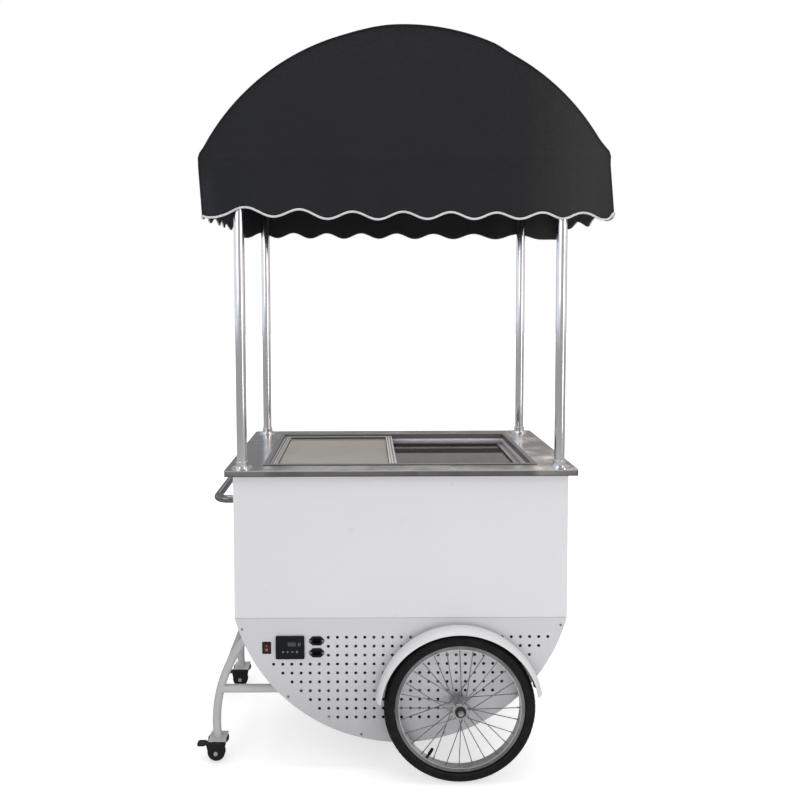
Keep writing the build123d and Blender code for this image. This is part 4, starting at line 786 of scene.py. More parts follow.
def grow(name, maker, points, edges=(), faces=(), **inputs):
    """Run a tree on points, edges and faces, and keep the mesh that comes out as a new piece."""
    seed = bpy.data.meshes.new(name + "_seed")
    seed.from_pydata(points, edges, faces)
    plant = bpy.data.objects.new(name + "_seed", seed)
    scene.collection.objects.link(plant)
    modifier = plant.modifiers.new("grow", "NODES")
    modifier.node_group = maker.tree
    for item in maker.tree.interface.items_tree:
        if item.in_out == "INPUT" and item.name in inputs:
            modifier[item.identifier] = inputs[item.name]
    grown = bpy.data.meshes.new_from_object(plant.evaluated_get(bpy.context.evaluated_depsgraph_get()))
    bpy.data.objects.remove(plant)
    bpy.data.meshes.remove(seed)
    grown.name = name
    piece = bpy.data.objects.new(name, grown)
    scene.collection.objects.link(piece)
    return piece


def chain(count, closed=False):
    """The edges of a line of points."""
    links = [(step, step + 1) for step in range(count - 1)]
    return links + [(count - 1, 0)] if closed else links


print("trees can be run")

# %% Tubes and stitches
tube = Maker("tube_along_line", Radius="Float", Sides="Int", Finish="Material")
tube_line = tube.node("GeometryNodeMeshToCurve", None, {"Mesh": tube.given("Geometry")})
tube_ring = tube.node("GeometryNodeCurvePrimitiveCircle", None,
                      {"Resolution": tube.given("Sides"), "Radius": tube.given("Radius")})
tube.deliver(tube.node("GeometryNodeCurveToMesh", None,
                       {"Curve": tube_line, "Profile Curve": tube_ring, "Fill Caps": True}), True)

sewing = Maker("stitches_along_line", Pitch="Float", Size="Vector", Finish="Material")
sewn_line = sewing.node("GeometryNodeMeshToCurve", None, {"Mesh": sewing.given("Geometry")})
sewn_points = sewing.node("GeometryNodeResampleCurve", {"mode": "LENGTH"},
                          {"Curve": sewn_line, "Length": sewing.given("Pitch")})
along_thread = sewing.node("FunctionNodeAlignRotationToVector", {"axis": "X"},
                           {"Vector": sewing.node("GeometryNodeInputTangent")})
stitch_ball = sewing.node("GeometryNodeMeshIcoSphere", None, {"Radius": 0.5, "Subdivisions": 1})
sewing.deliver(sewing.node("GeometryNodeInstanceOnPoints", None,
                           {"Points": sewn_points, "Instance": stitch_ball, "Rotation": along_thread,
                            "Scale": sewing.given("Size")}), True)
print("trees:", tube.tree.name, sewing.tree.name)

# %% Rings and screws
ringing = Maker("blocks_round_axle", Count="Int", Finish="Material")
ring_places = {"Count": ringing.given("Count"), "Offset": (0.0, 0.0, 0.0)}
ring_points = ringing.node("GeometryNodeMeshLine", None, ring_places)
ring_angle = ringing.node("GeometryNodeInputIndex") * tau / ringing.given("Count")
ring_turn = ringing.node("FunctionNodeEulerToRotation", None,
                         {"Euler": ringing.node("ShaderNodeCombineXYZ", None, {"Y": ring_angle})})
ring_blocks = {"Points": ring_points, "Instance": ringing.given("Geometry"), "Rotation": ring_turn}
ringing.deliver(ringing.node("GeometryNodeInstanceOnPoints", None, ring_blocks), False)

driving = Maker("screws_at_points", Head="Object", Turn="Vector", Seed="Int", Finish="Material")
screw_head = driving.node("GeometryNodeObjectInfo", None, {"Object": driving.given("Head")}, "Geometry")
screw_spin = driving.node("FunctionNodeRandomValue", None, {"Max": tau, "Seed": driving.given("Seed")}, 1)
screw_turn = driving.node("FunctionNodeRotateRotation", {"rotation_space": "LOCAL"}, {
    "Rotation": driving.node("FunctionNodeEulerToRotation", None, {"Euler": driving.given("Turn")}),
    "Rotate By": driving.node("FunctionNodeEulerToRotation", None,
                              {"Euler": driving.node("ShaderNodeCombineXYZ", None, {"Z": screw_spin})})})
screws = {"Points": driving.given("Geometry"), "Instance": screw_head, "Rotation": screw_turn}
driving.deliver(driving.node("GeometryNodeInstanceOnPoints", None, screws), False)
print("trees:", ringing.tree.name, driving.tree.name)

# %% [markdown]
# ## The shape of the canopy
# The canvas is stretched over three bows between the rails, so its front edge is an arc, and it hangs free
# below the rails as a valance with a scalloped hem. A few functions say where the cloth is: the arc, the
# hem's waves and how the loose cloth leans. Everything sewn to the canopy asks the same functions, so it
# can't drift off the cloth.

# %% Arc
roof_low, roof_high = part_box("canopy_top")
rail_low, rail_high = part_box("canopy_rails")
canopy_middle = (roof_low.x + roof_high.x) / 2
canopy_half = (roof_high.x - roof_low.x) / 2
cloth_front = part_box("canopy_front")[0].y
cloth_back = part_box("canopy_back")[1].y
crown_z = roof_high.z
spring_z = rail_high.z
arc_rise = crown_z - spring_z
arc_radius = (canopy_half ** 2 + arc_rise ** 2) / (2 * arc_rise)
arc_centre_z = crown_z - arc_radius
crown_puff = 0.0066
crown_left, crown_right = (-0.20, 0.17), (0.275, 0.065)
crown_depth = 0.03


def bell(value, centre, width):
    return exp(-((value - centre) / width) ** 2)


def smooth(share):
    share = min(1.0, max(0.0, share))
    return share * share * (3 - 2 * share)


def climb_over(value, start, run):
    """0 up to start, 1 from a run further on, and smooth between."""
    return smooth((value - start) / run)


def crown_rise(x, y):
    """How far the rolled seam lifts the roof's front edge off the bow, along its crown."""
    share = climb_over(x, *crown_left) * (1 - climb_over(x, *crown_right))
    return crown_puff * share * bell(y, cloth_front, crown_depth)


def arc_height(x, y=0.0):
    return arc_centre_z + sqrt(max(0.0, arc_radius ** 2 - x ** 2)) + crown_rise(x, y)


print("arc radius", round(arc_radius, 4))

# %% Hem
hem_middle_z = 1.8214
crest_start, crest_pitch, crest_loss, crest_gain = 0.1403, 0.17986, 0.005005, 0.000138
left_swing, right_swing, back_swing = 0.0141, 0.0085, 0.0105
left_lift = 0.0117
left_lift_span = (0.1, 0.4)
hem_tilt = -0.0056
back_drop = 0.005
back_tilt = 0.009
back_shift = 0.028
back_shift_start, back_shift_run, back_shift_rest = 0.2, 0.8, 0.36
right_squeeze = 0.012
corner_squeeze = 0.009
right_squeeze_span, corner_squeeze_span = (1.08, 0.1), (1.205, 0.04)
right_corner_lift, right_corner_span = 0.010, (0.622, 0.018)
left_corner_lift, left_corner_span = 0.004, (0.624, 0.016)
corner_dip, left_dip_span, right_dip = 0.0045, (0.575, 0.03), (0.622, 0.018)
side_waves = {-1: (5.8, -0.25, 0.0098), 1: (3.2, -0.31, 0.0115)}
side_climbs = {-1: (0.028, 1), 1: (0.042, 2)}
climb_end = (0.86, 0.14)
corner_tuck, corner_tuck_place = 0.008, (0.07, 0.035)


def hem_turn(along):
    """Which crest of the hem a place is at, counted from the left; to the right they get closer."""
    turn = (along - crest_start) / crest_pitch
    for _ in range(8):
        miss = crest_start + turn * (crest_pitch + turn * (crest_gain * turn - crest_loss)) - along
        turn -= miss / (crest_pitch + turn * (3 * crest_gain * turn - 2 * crest_loss))
    return max(-0.5, turn)


def end_hem(x, front=True):
    """Height of the scalloped hem, x from the canopy's middle."""
    along = x + canopy_half
    if not front:
        shift = back_shift * (climb_over(along, back_shift_start, back_shift_run) - back_shift_rest)
        return hem_middle_z - back_drop + back_tilt * x + back_swing * cos(tau * hem_turn(along + shift))
    squeeze = right_squeeze * climb_over(along, *right_squeeze_span)
    squeeze += corner_squeeze * climb_over(along, *corner_squeeze_span)
    wave = cos(tau * hem_turn(along + squeeze))
    swing = left_swing + (right_swing - left_swing) * along / (2 * canopy_half)
    lifts = right_corner_lift * climb_over(x, *right_corner_span)
    lifts += left_corner_lift * climb_over(-x, *left_corner_span)
    dips = corner_dip * (climb_over(-x, *left_dip_span) + bell(x, *right_dip))
    level = hem_middle_z + hem_tilt * x + left_lift * (1 - climb_over(along, *left_lift_span))
    return level + swing * wave + (lifts - dips)


def side_hem(side, share):
    """Height of a side valance's hem from its front corner, share 0, to its back corner, share 1."""
    count, start, swing = side_waves[side]
    front_corner, back_corner = end_hem(side * canopy_half), end_hem(-side * canopy_half, False)
    first, last, here = (swing * cos(tau * (count * place + start)) for place in (0.0, 1.0, share))
    front_corner, back_corner = front_corner + first, back_corner + last
    height, power = side_climbs[side]
    climb = height * share ** power * (1 - climb_over(share, *climb_end))
    if side < 0:
        climb += corner_tuck * bell(share, *corner_tuck_place)
    return front_corner + (back_corner - front_corner) * share - here + climb


hem_ends = [round(end_hem(side * canopy_half), 4) for side in (-1, 1)]
print("hem from", hem_ends[0], "to", hem_ends[1])

# %% Lean
left_lean = 0.0101
left_bulge = 0.0035
right_lean = 0.0140
right_bulge = 0.0065
right_knuckle, right_knuckle_rise, right_knuckle_width = 0.7, 0.018, 0.012
left_knuckle_rise, left_knuckle_width = 0.016, 0.011
bulge_fade = 0.045


def hang(z):
    """How far down the valance a height is: 0 at the rails, 1 at the hem's middle."""
    return min(1.2, max(0.0, (rail_low.z - z) / (rail_low.z - hem_middle_z)))


def lean(x, z, y):
    """The loose cloth leans in at the left end and bulges out at the front corners, most at the right one."""
    left, right = (max(0.0, side * x / canopy_half) ** 3 for side in (-1, 1))
    nearness = (cloth_back - y) / (cloth_back - cloth_front)
    knuckle_z = spring_z + right_knuckle_rise
    fade = 1 - climb_over(z, knuckle_z, bulge_fade)
    bulge = right * right_bulge * (1 + right_knuckle * bell(z, knuckle_z, right_knuckle_width)) * fade
    bulge -= left * left_bulge * bell(z, spring_z + left_knuckle_rise, left_knuckle_width)
    return (left * left_lean + right * right_lean) * hang(z) + bulge * nearness


print("the right end leans", round(lean(canopy_half, hem_middle_z, cloth_front), 4))

# %% [markdown]
# ## The canopy's ends
# Each end is one flat cut of canvas: an arc above, a scalloped hem below. It is sewn to the roof along the
# arc and lies against the front rail, whose edge shows faintly through it. A grid of points does this best,
# because each point can be moved by a small sum: slack between the seams, the rail's edge, and soft waves
# in the valance.

# %% Folds in the ends
seam_reach = 0.07
side_reach = 0.05
seam_stand = 0.0012
slack_height = 0.0022
drawn_height = 0.0010
upper_ridge, upper_ridge_width = 0.0011, 0.010
lower_ridge, lower_ridge_width = 0.0007, 0.008
pinch_height, pinch_x, pinch_wide, pinch_tall = 0.0018, -0.022, 0.014, 0.006
long_wave, long_pitch = 0.0042, 0.41
short_wave, short_pitch = 0.0022, 0.173
tuck_depth, tuck_x, tuck_width = 0.006, 0.606, 0.012


def end_fold(x, z, seed):
    """How far the end cloth stands out from its flat cut."""
    below_arc = arc_height(x, cloth_front) - z
    from_side = min(1.0, (canopy_half - abs(x)) / side_reach)
    from_seam = min(1.0, max(0.0, below_arc / seam_reach)) * from_side
    slack = slack_height * noise.noise(Vector((3.1 * x, 2.6 * z, seed)))
    drawn = drawn_height * noise.noise(Vector((11.0 * x + 4.0 * z, 5.0 * z - 3.0 * x, seed + 5.0)))
    rail_edge = upper_ridge * bell(z, rail_high.z, upper_ridge_width)
    rail_edge += lower_ridge * bell(z, rail_low.z, lower_ridge_width)
    pinch = pinch_height * bell(x, pinch_x, pinch_wide) * bell(z, rail_high.z, pinch_tall)
    waves = long_wave * sin(tau * x / long_pitch + 0.6 + seed)
    waves += short_wave * sin(tau * x / short_pitch + 2.1 * seed)
    tuck = -tuck_depth * hang(z) * bell(x, tuck_x, tuck_width)
    flat_part = from_seam * (seam_stand + slack + drawn + rail_edge + pinch + tuck)
    return flat_part + hang(z) * waves * from_side


def end_point(x, z, front):
    """A point of the end cloth's outer side; the back is the front turned round."""
    fold = end_fold(x, z, 0.0 if front else 3.0)
    if front:
        return Vector((canopy_middle + x + lean(x, z, cloth_front), cloth_front - fold, z))
    return Vector((canopy_middle - x + lean(-x, z, cloth_back), cloth_back + fold, z))


print("fold at the middle", round(end_fold(0.0, spring_z, 0.0), 5))

# %% End sheets
cloth_thickness = 0.0012
end_columns = 200
end_rows = 56
area_steps = 400


def grid_faces(columns, rows):
    across = columns + 1
    return [(r * across + c, r * across + c + 1, (r + 1) * across + c + 1, (r + 1) * across + c)
            for r in range(rows) for c in range(columns)]


def map_weave(piece, flat):
    """Give a cloth its UV map in metres, so that the weave follows the threads."""
    layer = piece.data.uv_layers.new(name="weave")
    for loop in piece.data.loops:
        layer.data[loop.index].uv = flat[loop.vertex_index]


def thicken(piece):
    wall = piece.modifiers.new("thickness", "SOLIDIFY")
    wall.thickness = cloth_thickness
    wall.offset = -1.0


def end_sheet(name, front, node):
    points, flat = [], []
    for row in range(end_rows + 1):
        for column in range(end_columns + 1):
            x = canopy_half * (2 * column / end_columns - 1)
            low = end_hem(x, front)
            z = low + (arc_height(x, cloth_front if front else cloth_back) - low) * row / end_rows
            points.append(end_point(x, z, front))
            flat.append((x, z))
    sheet = make_piece(name, points, grid_faces(end_columns, end_rows))
    map_weave(sheet, flat)
    thicken(sheet)
    return seat(sheet, "chassis", canopy_canvas, "canvas", node)


front_end = end_sheet("front_canvas", True, "canopy_front")
back_end = end_sheet("back_canvas", False, "canopy_back")
end_step = 2 * canopy_half / area_steps
area_places = [canopy_half * (2 * (step + 0.5) / area_steps - 1) for step in range(area_steps)]
end_area = sum((arc_height(x) - end_hem(x)) * end_step for x in area_places)
print("end cloth area", round(end_area, 4))

# %% [markdown]
# ## The canopy's roof
# The roof is one strip of canvas: up one side valance, over the bows and down the other side. Between the
# bows it sags a little, less where a purlin props it up. It is a grid too, walked along the strip.

# %% Sag and side valances
bay_sag = 0.0055
bow_faces = (-0.3027, -0.0125, 0.0125, 0.3027)
purlin_angle = radians(38.0)
arc_half_angle = asin(canopy_half / arc_radius)
rumple_height = 0.0008
valance_edge = 0.06
side_long_wave, side_long_turns = 0.0035, 2.3
side_short_wave, side_short_turns = 0.0018, 5.1


def bay_share(y):
    """0 on a bow and 1 midway between two bows."""
    for near, far in ((bow_faces[0], bow_faces[1]), (bow_faces[2], bow_faces[3])):
        if near < y < far:
            return sin(pi * (y - near) / (far - near)) ** 2
    return 0.0


def prop_share(angle):
    """0 over a purlin or a rail and 1 midway between them."""
    props = (-arc_half_angle, -purlin_angle, 0.0, purlin_angle, arc_half_angle)
    for near, far in zip(props, props[1:]):
        if near <= angle <= far:
            return sin(pi * (angle - near) / (far - near)) ** 2
    return 0.0


def arc_point(angle, y):
    rumple = rumple_height * noise.noise(Vector((4.0 * angle, 9.0 * y, 2.0))) * bay_share(y)
    radius = arc_radius - bay_sag * bay_share(y) * prop_share(angle) + rumple
    x, z = radius * sin(angle), arc_centre_z + radius * cos(angle)
    return Vector((canopy_middle + x + lean(x, z, y), y, z + crown_rise(x, y)))


def side_point(side, share, z):
    """A point of a side valance: share runs from the front corner to the back one."""
    y = cloth_front + (cloth_back - cloth_front) * share
    edge = min(1.0, share / valance_edge, (1 - share) / valance_edge)
    swell = side_long_wave * sin(tau * side_long_turns * share + side)
    swell += side_short_wave * sin(tau * side_short_turns * share)
    wave = hang(z) * edge * swell
    return Vector((canopy_middle + side * canopy_half + lean(side * canopy_half, z, y) + side * wave, y, z))


print("sag between the bows", bay_sag)

# %% Roof sheet
arc_steps = 120
drop_steps = 20
roof_rows = 60
roof_points, roof_flat = [], []
drop_length = spring_z - hem_middle_z
for row in range(roof_rows + 1):
    share = row / roof_rows
    y = cloth_front + (cloth_back - cloth_front) * share
    for step in range(drop_steps):
        z = side_hem(-1, share) + (spring_z - side_hem(-1, share)) * step / drop_steps
        roof_points.append(side_point(-1, share, z))
        roof_flat.append((z - spring_z, y))
    for step in range(arc_steps + 1):
        angle = arc_half_angle * (2 * step / arc_steps - 1)
        roof_points.append(arc_point(angle, y))
        roof_flat.append((arc_radius * (angle + arc_half_angle), y))
    for step in range(1, drop_steps + 1):
        z = spring_z + (side_hem(1, share) - spring_z) * step / drop_steps
        roof_points.append(side_point(1, share, z))
        roof_flat.append((2 * arc_radius * arc_half_angle + spring_z - z, y))
roof = make_piece("roof_canvas", roof_points, grid_faces(arc_steps + 2 * drop_steps, roof_rows))
map_weave(roof, roof_flat)
thicken(roof)
seat(roof, "chassis", canopy_canvas, "canvas", "canopy_top")
roof_length = 2 * arc_radius * arc_half_angle + 2 * drop_length
print("roof strip", round(roof_length, 3), "by", round(cloth_back - cloth_front, 3))

# %% [markdown]
# ## Seams, piping and stitches
# The ends meet the roof in a rolled seam that goes up one corner, over the arc and down the other corner.
# Light piping is sewn round the whole scalloped hem, and a row of stitches runs above it and inside each
# seam. All of these follow a line, so they come from the tube tree and the stitch tree.

# %% Rolled seams
welt_radius = 0.0026
seam_inset = 0.0013
line_steps = 240
arc_line_steps = 160
corner_line_steps = 24


def spread(steps):
    return [step / steps for step in range(steps + 1)]


def end_outline(front, inset):
    """The line up one corner of an end, over its arc and down the other corner, inset from the edge."""
    side_x = canopy_half - inset
    y = cloth_front if front else cloth_back
    base = [end_hem(-side_x, front) + inset, end_hem(side_x, front) + inset]
    top = arc_height(side_x) - inset
    climb = spread(corner_line_steps)
    run = [side_x * (2 * share - 1) for share in spread(arc_line_steps)][1:-1]
    rise = [(-side_x, base[0] + (top - base[0]) * share) for share in climb]
    over = [(x, arc_height(x, y) - inset) for x in run]
    fall = [(side_x, base[1] + (top - base[1]) * (1 - share)) for share in climb]
    return [end_point(x, z, front) for x, z in rise + over + fall]


for name, front in (("front_seam", True), ("back_seam", False)):
    line = end_outline(front, seam_inset)
    seam = grow(name, tube, line, chain(len(line)), Radius=welt_radius, Sides=10, Finish=canopy_canvas)
    seam.data.uv_layers.new(name="weave")
    seat(seam, "chassis", canopy_canvas, "canvas")
print("seams are", 2 * welt_radius, "thick")

# %% Piping
piping_radius = 0.0035
piping_stand = 0.0025
piping_rise = 0.002
side_piping_rise = 0.0042
rise_share = 0.08


def hem_line(front):
    out = Vector((0.0, -piping_stand if front else piping_stand, piping_rise))
    run = [canopy_half * (2 * share - 1) for share in spread(line_steps)]
    return [end_point(x, end_hem(x, front), front) + out for x in run]


def side_line(side, shares):
    """The sides' piping sits higher than the ends', so that it doesn't show below the hem from inside."""
    line = []
    for share in shares:
        rise = piping_rise + (side_piping_rise - piping_rise) * smooth(min(share, 1 - share) / rise_share)
        line.append(side_point(side, share, side_hem(side, share)) + Vector((side * piping_stand, 0.0, rise)))
    return line


side_shares = spread(line_steps // 2)[1:-1]
hem_front, hem_right = hem_line(True), side_line(1, side_shares)
hem_back, hem_left = hem_line(False), side_line(-1, side_shares[::-1])
hem_loop = hem_front + hem_right + hem_back + hem_left
piping = grow("hem_piping", tube, hem_loop, chain(len(hem_loop), True),
              Radius=piping_radius, Sides=12, Finish=piping_white)
seat(piping, "chassis", piping_white, "piping", "canopy_piping")
print("piping points", len(hem_loop))

# %% Stitches
stitch_pitch = 0.0075
stitch_size = (0.0046, 0.0012, 0.0012)
stitch_inset = 0.011
stitch_run = 0.985
seam_stitch_inset = 0.012
arc_stitch_inset = 0.010
thread_stand = 0.0003
stitch_points, stitch_edges = [], []


def sew(line, outward=(0, 0, 0)):
    start = len(stitch_points)
    stitch_points.extend(point + Vector(outward) * thread_stand for point in line)
    stitch_edges.extend((start + a, start + b) for a, b in chain(len(line)))


for front, outward in ((True, (0, -1, 0)), (False, (0, 1, 0))):
    run = [canopy_half * (2 * share - 1) * stitch_run for share in spread(line_steps)]
    sew([end_point(x, end_hem(x, front) + stitch_inset, front) for x in run], outward)
    sew(end_outline(front, seam_stitch_inset), outward)
for side in (-1, 1):
    shares = spread(line_steps // 2)
    sew([side_point(side, share, side_hem(side, share) + stitch_inset) for share in shares], (side, 0, 0))
for y in (cloth_front + arc_stitch_inset, cloth_back - arc_stitch_inset):
    angles = [arc_half_angle * (2 * share - 1) for share in spread(arc_line_steps)]
    sew([arc_point(angle, y) + Vector((sin(angle), 0, cos(angle))) * thread_stand for angle in angles])
stitches = grow("canopy_stitches", sewing, stitch_points, stitch_edges,
                Pitch=stitch_pitch, Size=stitch_size, Finish=thread_grey)
seat(stitches, "chassis", thread_grey, "canvas")
print("stitch faces", len(stitches.data.polygons))

# %% [markdown]

# %% [markdown]
# ## Tyres
# A bicycle tyre is a fat casing with rows of small blocks across its crown and shoulders. The casing is
# turned like a bowl on a lathe: a profile goes round the axle. The blocks of one pitch are modelled once,
# in their place above the axle, and the ring tree repeats them round the wheel.

# %% Casing
tyre_reach = (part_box("front_tyre")[1].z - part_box("front_tyre")[0].z) / 2
tyre_half = (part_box("front_tyre")[1].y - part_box("front_tyre")[0].y) / 2
tread_height = 0.0020
rib_height = 0.0006
casing_centre = 0.2222
casing_depth = tyre_reach - casing_centre - tread_height
casing_half = tyre_half - rib_height
bead_angle = radians(-35.0)
casing_turns = 128
casing_steps = 44
casing_ribs = (4, 8, 36, 40)
casing_wall = 0.0030
bead_narrowing = 0.86


def casing_point(angle, lift=0.0):
    """Radius and side step on the casing: the angle is 90 degrees at the crown and falls towards the bead."""
    out = Vector((cos(angle) / casing_half, sin(angle) / casing_depth)).normalized()
    return (casing_centre + casing_depth * sin(angle) + lift * out.y, casing_half * cos(angle) + lift * out.x)


def casing_profile():
    """From bead to bead over the crown, with thin ribs on the walls, and back along the inside."""
    angles = [bead_angle + (pi - 2 * bead_angle) * step / casing_steps for step in range(casing_steps + 1)]
    lifts = [rib_height if step in casing_ribs else 0.0 for step in range(casing_steps + 1)]
    outer = [casing_point(angle, lift) for angle, lift in zip(angles, lifts)]
    inner = [(radius - casing_wall * sin(angle), side * bead_narrowing)
             for (radius, side), angle in zip(outer[::-1], angles[::-1])]
    return outer + inner


def ring_faces(rings, count, closed=True):
    """Quads between rings of points; closed also joins the last ring to the first."""
    return [(ring * count + step, ring * count + (step + 1) % count,
             (ring + 1) % rings * count + (step + 1) % count, (ring + 1) % rings * count + step)
            for ring in range(rings if closed else rings - 1) for step in range(count)]


def lathe(name, profile, centre, turns):
    """Turn a closed profile of (radius, side step) round an axle along Y."""
    angles = [tau * turn / turns for turn in range(turns)]
    points = [(centre.x + radius * sin(angle), centre.y + side, centre.z + radius * cos(angle))
              for angle in angles for radius, side in profile]
    return weld(make_piece(name, points, ring_faces(turns, len(profile))))


print("casing points", len(casing_profile()) * casing_turns)

# %% Tread
tread_count = 84
tread_rows = (0, 20, -20, 40, -40, 58, -58, 74, -74, 88, -88)
crown_limit = 50
crown_block = (0.62, 0.0058, tread_height)
shoulder_block = (0.46, 0.0036, 0.0012)
block_root, block_taper = 0.0008, 0.80


def tread_pitch():
    """The blocks of one pitch, above an axle at the origin: points and faces."""
    points, faces = [], []
    pitch = tau * tyre_reach / tread_count
    for row, degrees in enumerate(tread_rows):
        angle = radians(90 - degrees)
        stagger = (row + 1) // 2 % 2 / 2
        long_share, wide, tall = crown_block if abs(degrees) < crown_limit else shoulder_block
        long = long_share * pitch
        start = len(points)
        for lift, shrink in ((-block_root, 1.0), (tall, block_taper)):
            for along, across in ((-1, -1), (1, -1), (1, 1), (-1, 1)):
                edge = angle + across * wide / 2 * shrink / casing_half
                radius, side = casing_point(edge, lift)
                turn = (stagger * pitch + along * long / 2 * shrink) / tyre_reach
                points.append((radius * sin(turn), side, radius * cos(turn)))
        ring = [start + step for step in range(4)]
        top = [start + 4 + step for step in range(4)]
        faces.append(tuple(top))
        faces.append(tuple(ring[::-1]))
        faces.extend((ring[step], ring[(step + 1) % 4], top[(step + 1) % 4], top[step]) for step in range(4))
    return points, faces


print("tread blocks", tread_count * len(tread_rows))

# %% Valves and whole tyres
valve_angle = radians(237.9)
valve_sides = 16
valve_groove = 0.93
grooved_girth = 0.0045
valve_stem = ((0.2000, 0.0040), (0.1850, 0.0040), (0.1845, 0.0054),
              (0.1640, 0.0050), (0.1625, 0.0038), (0.1620, 0.0))


def valve(end, axle):
    """A grooved stem that points at the axle."""
    points = []
    for radius, girth in valve_stem:
        for step in range(valve_sides):
            ridge = 1.0 if step % 2 or girth < grooved_girth else valve_groove
            across = girth * ridge * cos(tau * step / valve_sides)
            deep = girth * ridge * sin(tau * step / valve_sides)
            points.append((axle.x + radius * cos(valve_angle) - across * sin(valve_angle), axle.y + deep,
                           axle.z + radius * sin(valve_angle) + across * cos(valve_angle)))
    faces = ring_faces(len(valve_stem), valve_sides, False) + [tuple(range(valve_sides))]
    return weld(make_piece(f"{end}_valve", points, faces))


for end, axle in (("front", front_axle), ("rear", rear_axle)):
    casing = lathe(f"{end}_casing", casing_profile(), axle, casing_turns)
    seat(casing, f"{end}_wheel", tyre_rubber, "tyre", f"{end}_tyre")
    points, faces = tread_pitch()
    tread = grow(f"{end}_tread", ringing, points, (), faces, Count=tread_count, Finish=tyre_rubber)
    tread.data.transform(Matrix.Translation(axle))
    seat(weld(tread, 0.000001), f"{end}_wheel", tyre_rubber, "tyre")
    seat(valve(end, axle), f"{end}_wheel", case_black, "tyre")
print("tyre reach", round(tyre_reach, 4), "tread faces", len(tread.data.polygons))

# %% [markdown]
# ## Lids
# The lids slide in drawn aluminium frames. The profile has two grooves along its top, and at the corners it
# is cut at forty five degrees, so a loop of the profile walked round the lid's rectangle gives the mitres
# by itself.

# %% Lid frames
# Inset from the lid's edge and height above its foot, in millimetres.
lid_profile = (
    (0.0, 0.0), (0.0, 14.6), (1.4, 16.0), (6.6, 16.0), (7.3, 13.4), (9.9, 13.4), (10.6, 16.0),
    (16.6, 16.0), (17.2, 14.0), (19.0, 14.0), (19.6, 16.0), (24.8, 16.0), (27.0, 13.2), (27.0, 0.0),
)


def lid_frame(side):
    low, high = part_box(f"{side}_lid_frame")
    corners = ((1, 1), (-1, 1), (-1, -1), (1, -1))
    points = []
    for along, across in corners:
        x, y = low.x if along > 0 else high.x, low.y if across > 0 else high.y
        points.extend((x + along * inset / 1000, y + across * inset / 1000, low.z + height / 1000)
                      for inset, height in lid_profile)
    faces = ring_faces(len(corners), len(lid_profile))
    made = weld(make_piece(f"{side}_lid_rail", points, faces, False))
    return seat(made, f"{side}_lid", lid_metals[side], "lid_frame", f"{side}_lid_frame")


lid_rails = [lid_frame(side) for side in ("left", "right")]
print("lid rails:", [len(made.data.polygons) for made in lid_rails])

# %% [markdown]
# ## Screws
# The skirts are held by pan head screws with a cross recess, and each pole flange has three of its own. A
# head is modelled, and the screw tree puts it at each place, each turned by a different amount.
# The places of the skirts' screws come from the solid: each loose island of its mesh is one screw.

# %% A screw head
def screw_mesh(name, radius, height):
    sides = 24
    turns = [tau * step / sides for step in range(sides)]
    shell = bmesh.new()
    rings = []
    for share, rise in ((1.0, -0.15), (1.0, 0.35), (0.86, 0.80), (0.62, 1.0)):
        rings.append([shell.verts.new((share * radius * cos(turn), share * radius * sin(turn), rise * height))
                      for turn in turns])
    for low, top in zip(rings, rings[1:]):
        for step in range(sides):
            shell.faces.new((low[step], low[(step + 1) % sides], top[(step + 1) % sides], top[step]))
    shell.faces.new(rings[0][::-1])
    reach, half = 0.50 * radius, 0.12 * radius
    cross = ((reach, -half), (reach, half), (half, half), (half, reach), (-half, reach), (-half, half),
             (-reach, half), (-reach, -half), (-half, -half), (-half, -reach), (half, -reach), (half, -half))
    rim = [shell.verts.new((x, y, height)) for x, y in cross]
    pit = [shell.verts.new((0.8 * x, 0.8 * y, 0.25 * height)) for x, y in cross]
    rim_edges = [shell.edges.new((rim[step], rim[(step + 1) % 12])) for step in range(12)]
    top_edges = [shell.edges.get((rings[-1][step], rings[-1][(step + 1) % sides])) for step in range(sides)]
    bmesh.ops.triangle_fill(shell, edges=rim_edges + top_edges, use_beauty=True, normal=(0, 0, 1))
    for step in range(12):
        shell.faces.new((rim[step], pit[step], pit[(step + 1) % 12], rim[(step + 1) % 12]))
    shell.faces.new(pit)
    bmesh.ops.recalc_face_normals(shell, faces=shell.faces)
    mesh = bpy.data.meshes.new(name)
    shell.to_mesh(mesh)
    shell.free()
    return bpy.data.objects.new(name, mesh)


flange_head_radius = 0.0042
flange_head_height = 0.0022
flange_head = screw_mesh("flange_head", flange_head_radius, flange_head_height)
print("a head has", len(flange_head.data.polygons), "faces")

# %% Screws along the skirts
def islands(node):
    """Corners of each loose island of a solid's mesh, lowest and highest."""
    shell = bmesh.new()
    shell.from_mesh(nodes[node].data)
    bmesh.ops.remove_doubles(shell, verts=shell.verts, dist=0.00001)
    left, found = set(shell.verts), []
    while left:
        grown, edge = set(), [left.pop()]
        while edge:
            vert = edge.pop()
            grown.add(vert)
            near = [link.other_vert(vert) for link in vert.link_edges]
            edge.extend(other for other in near if other in left)
            left.difference_update(near)
        places = [vert.co.copy() for vert in grown]
        found.append([Vector(pick(place[axis] for place in places) for axis in range(3))
                      for pick in (min, max)])
    shell.free()
    return found


def solid_tree(node):
    """A solid's faces, sorted so that a ray finds the one it hits."""
    mesh = nodes[node].data
    return BVHTree.FromPolygons([vert.co.copy() for vert in mesh.vertices],
                                [tuple(face.vertices) for face in mesh.polygons])


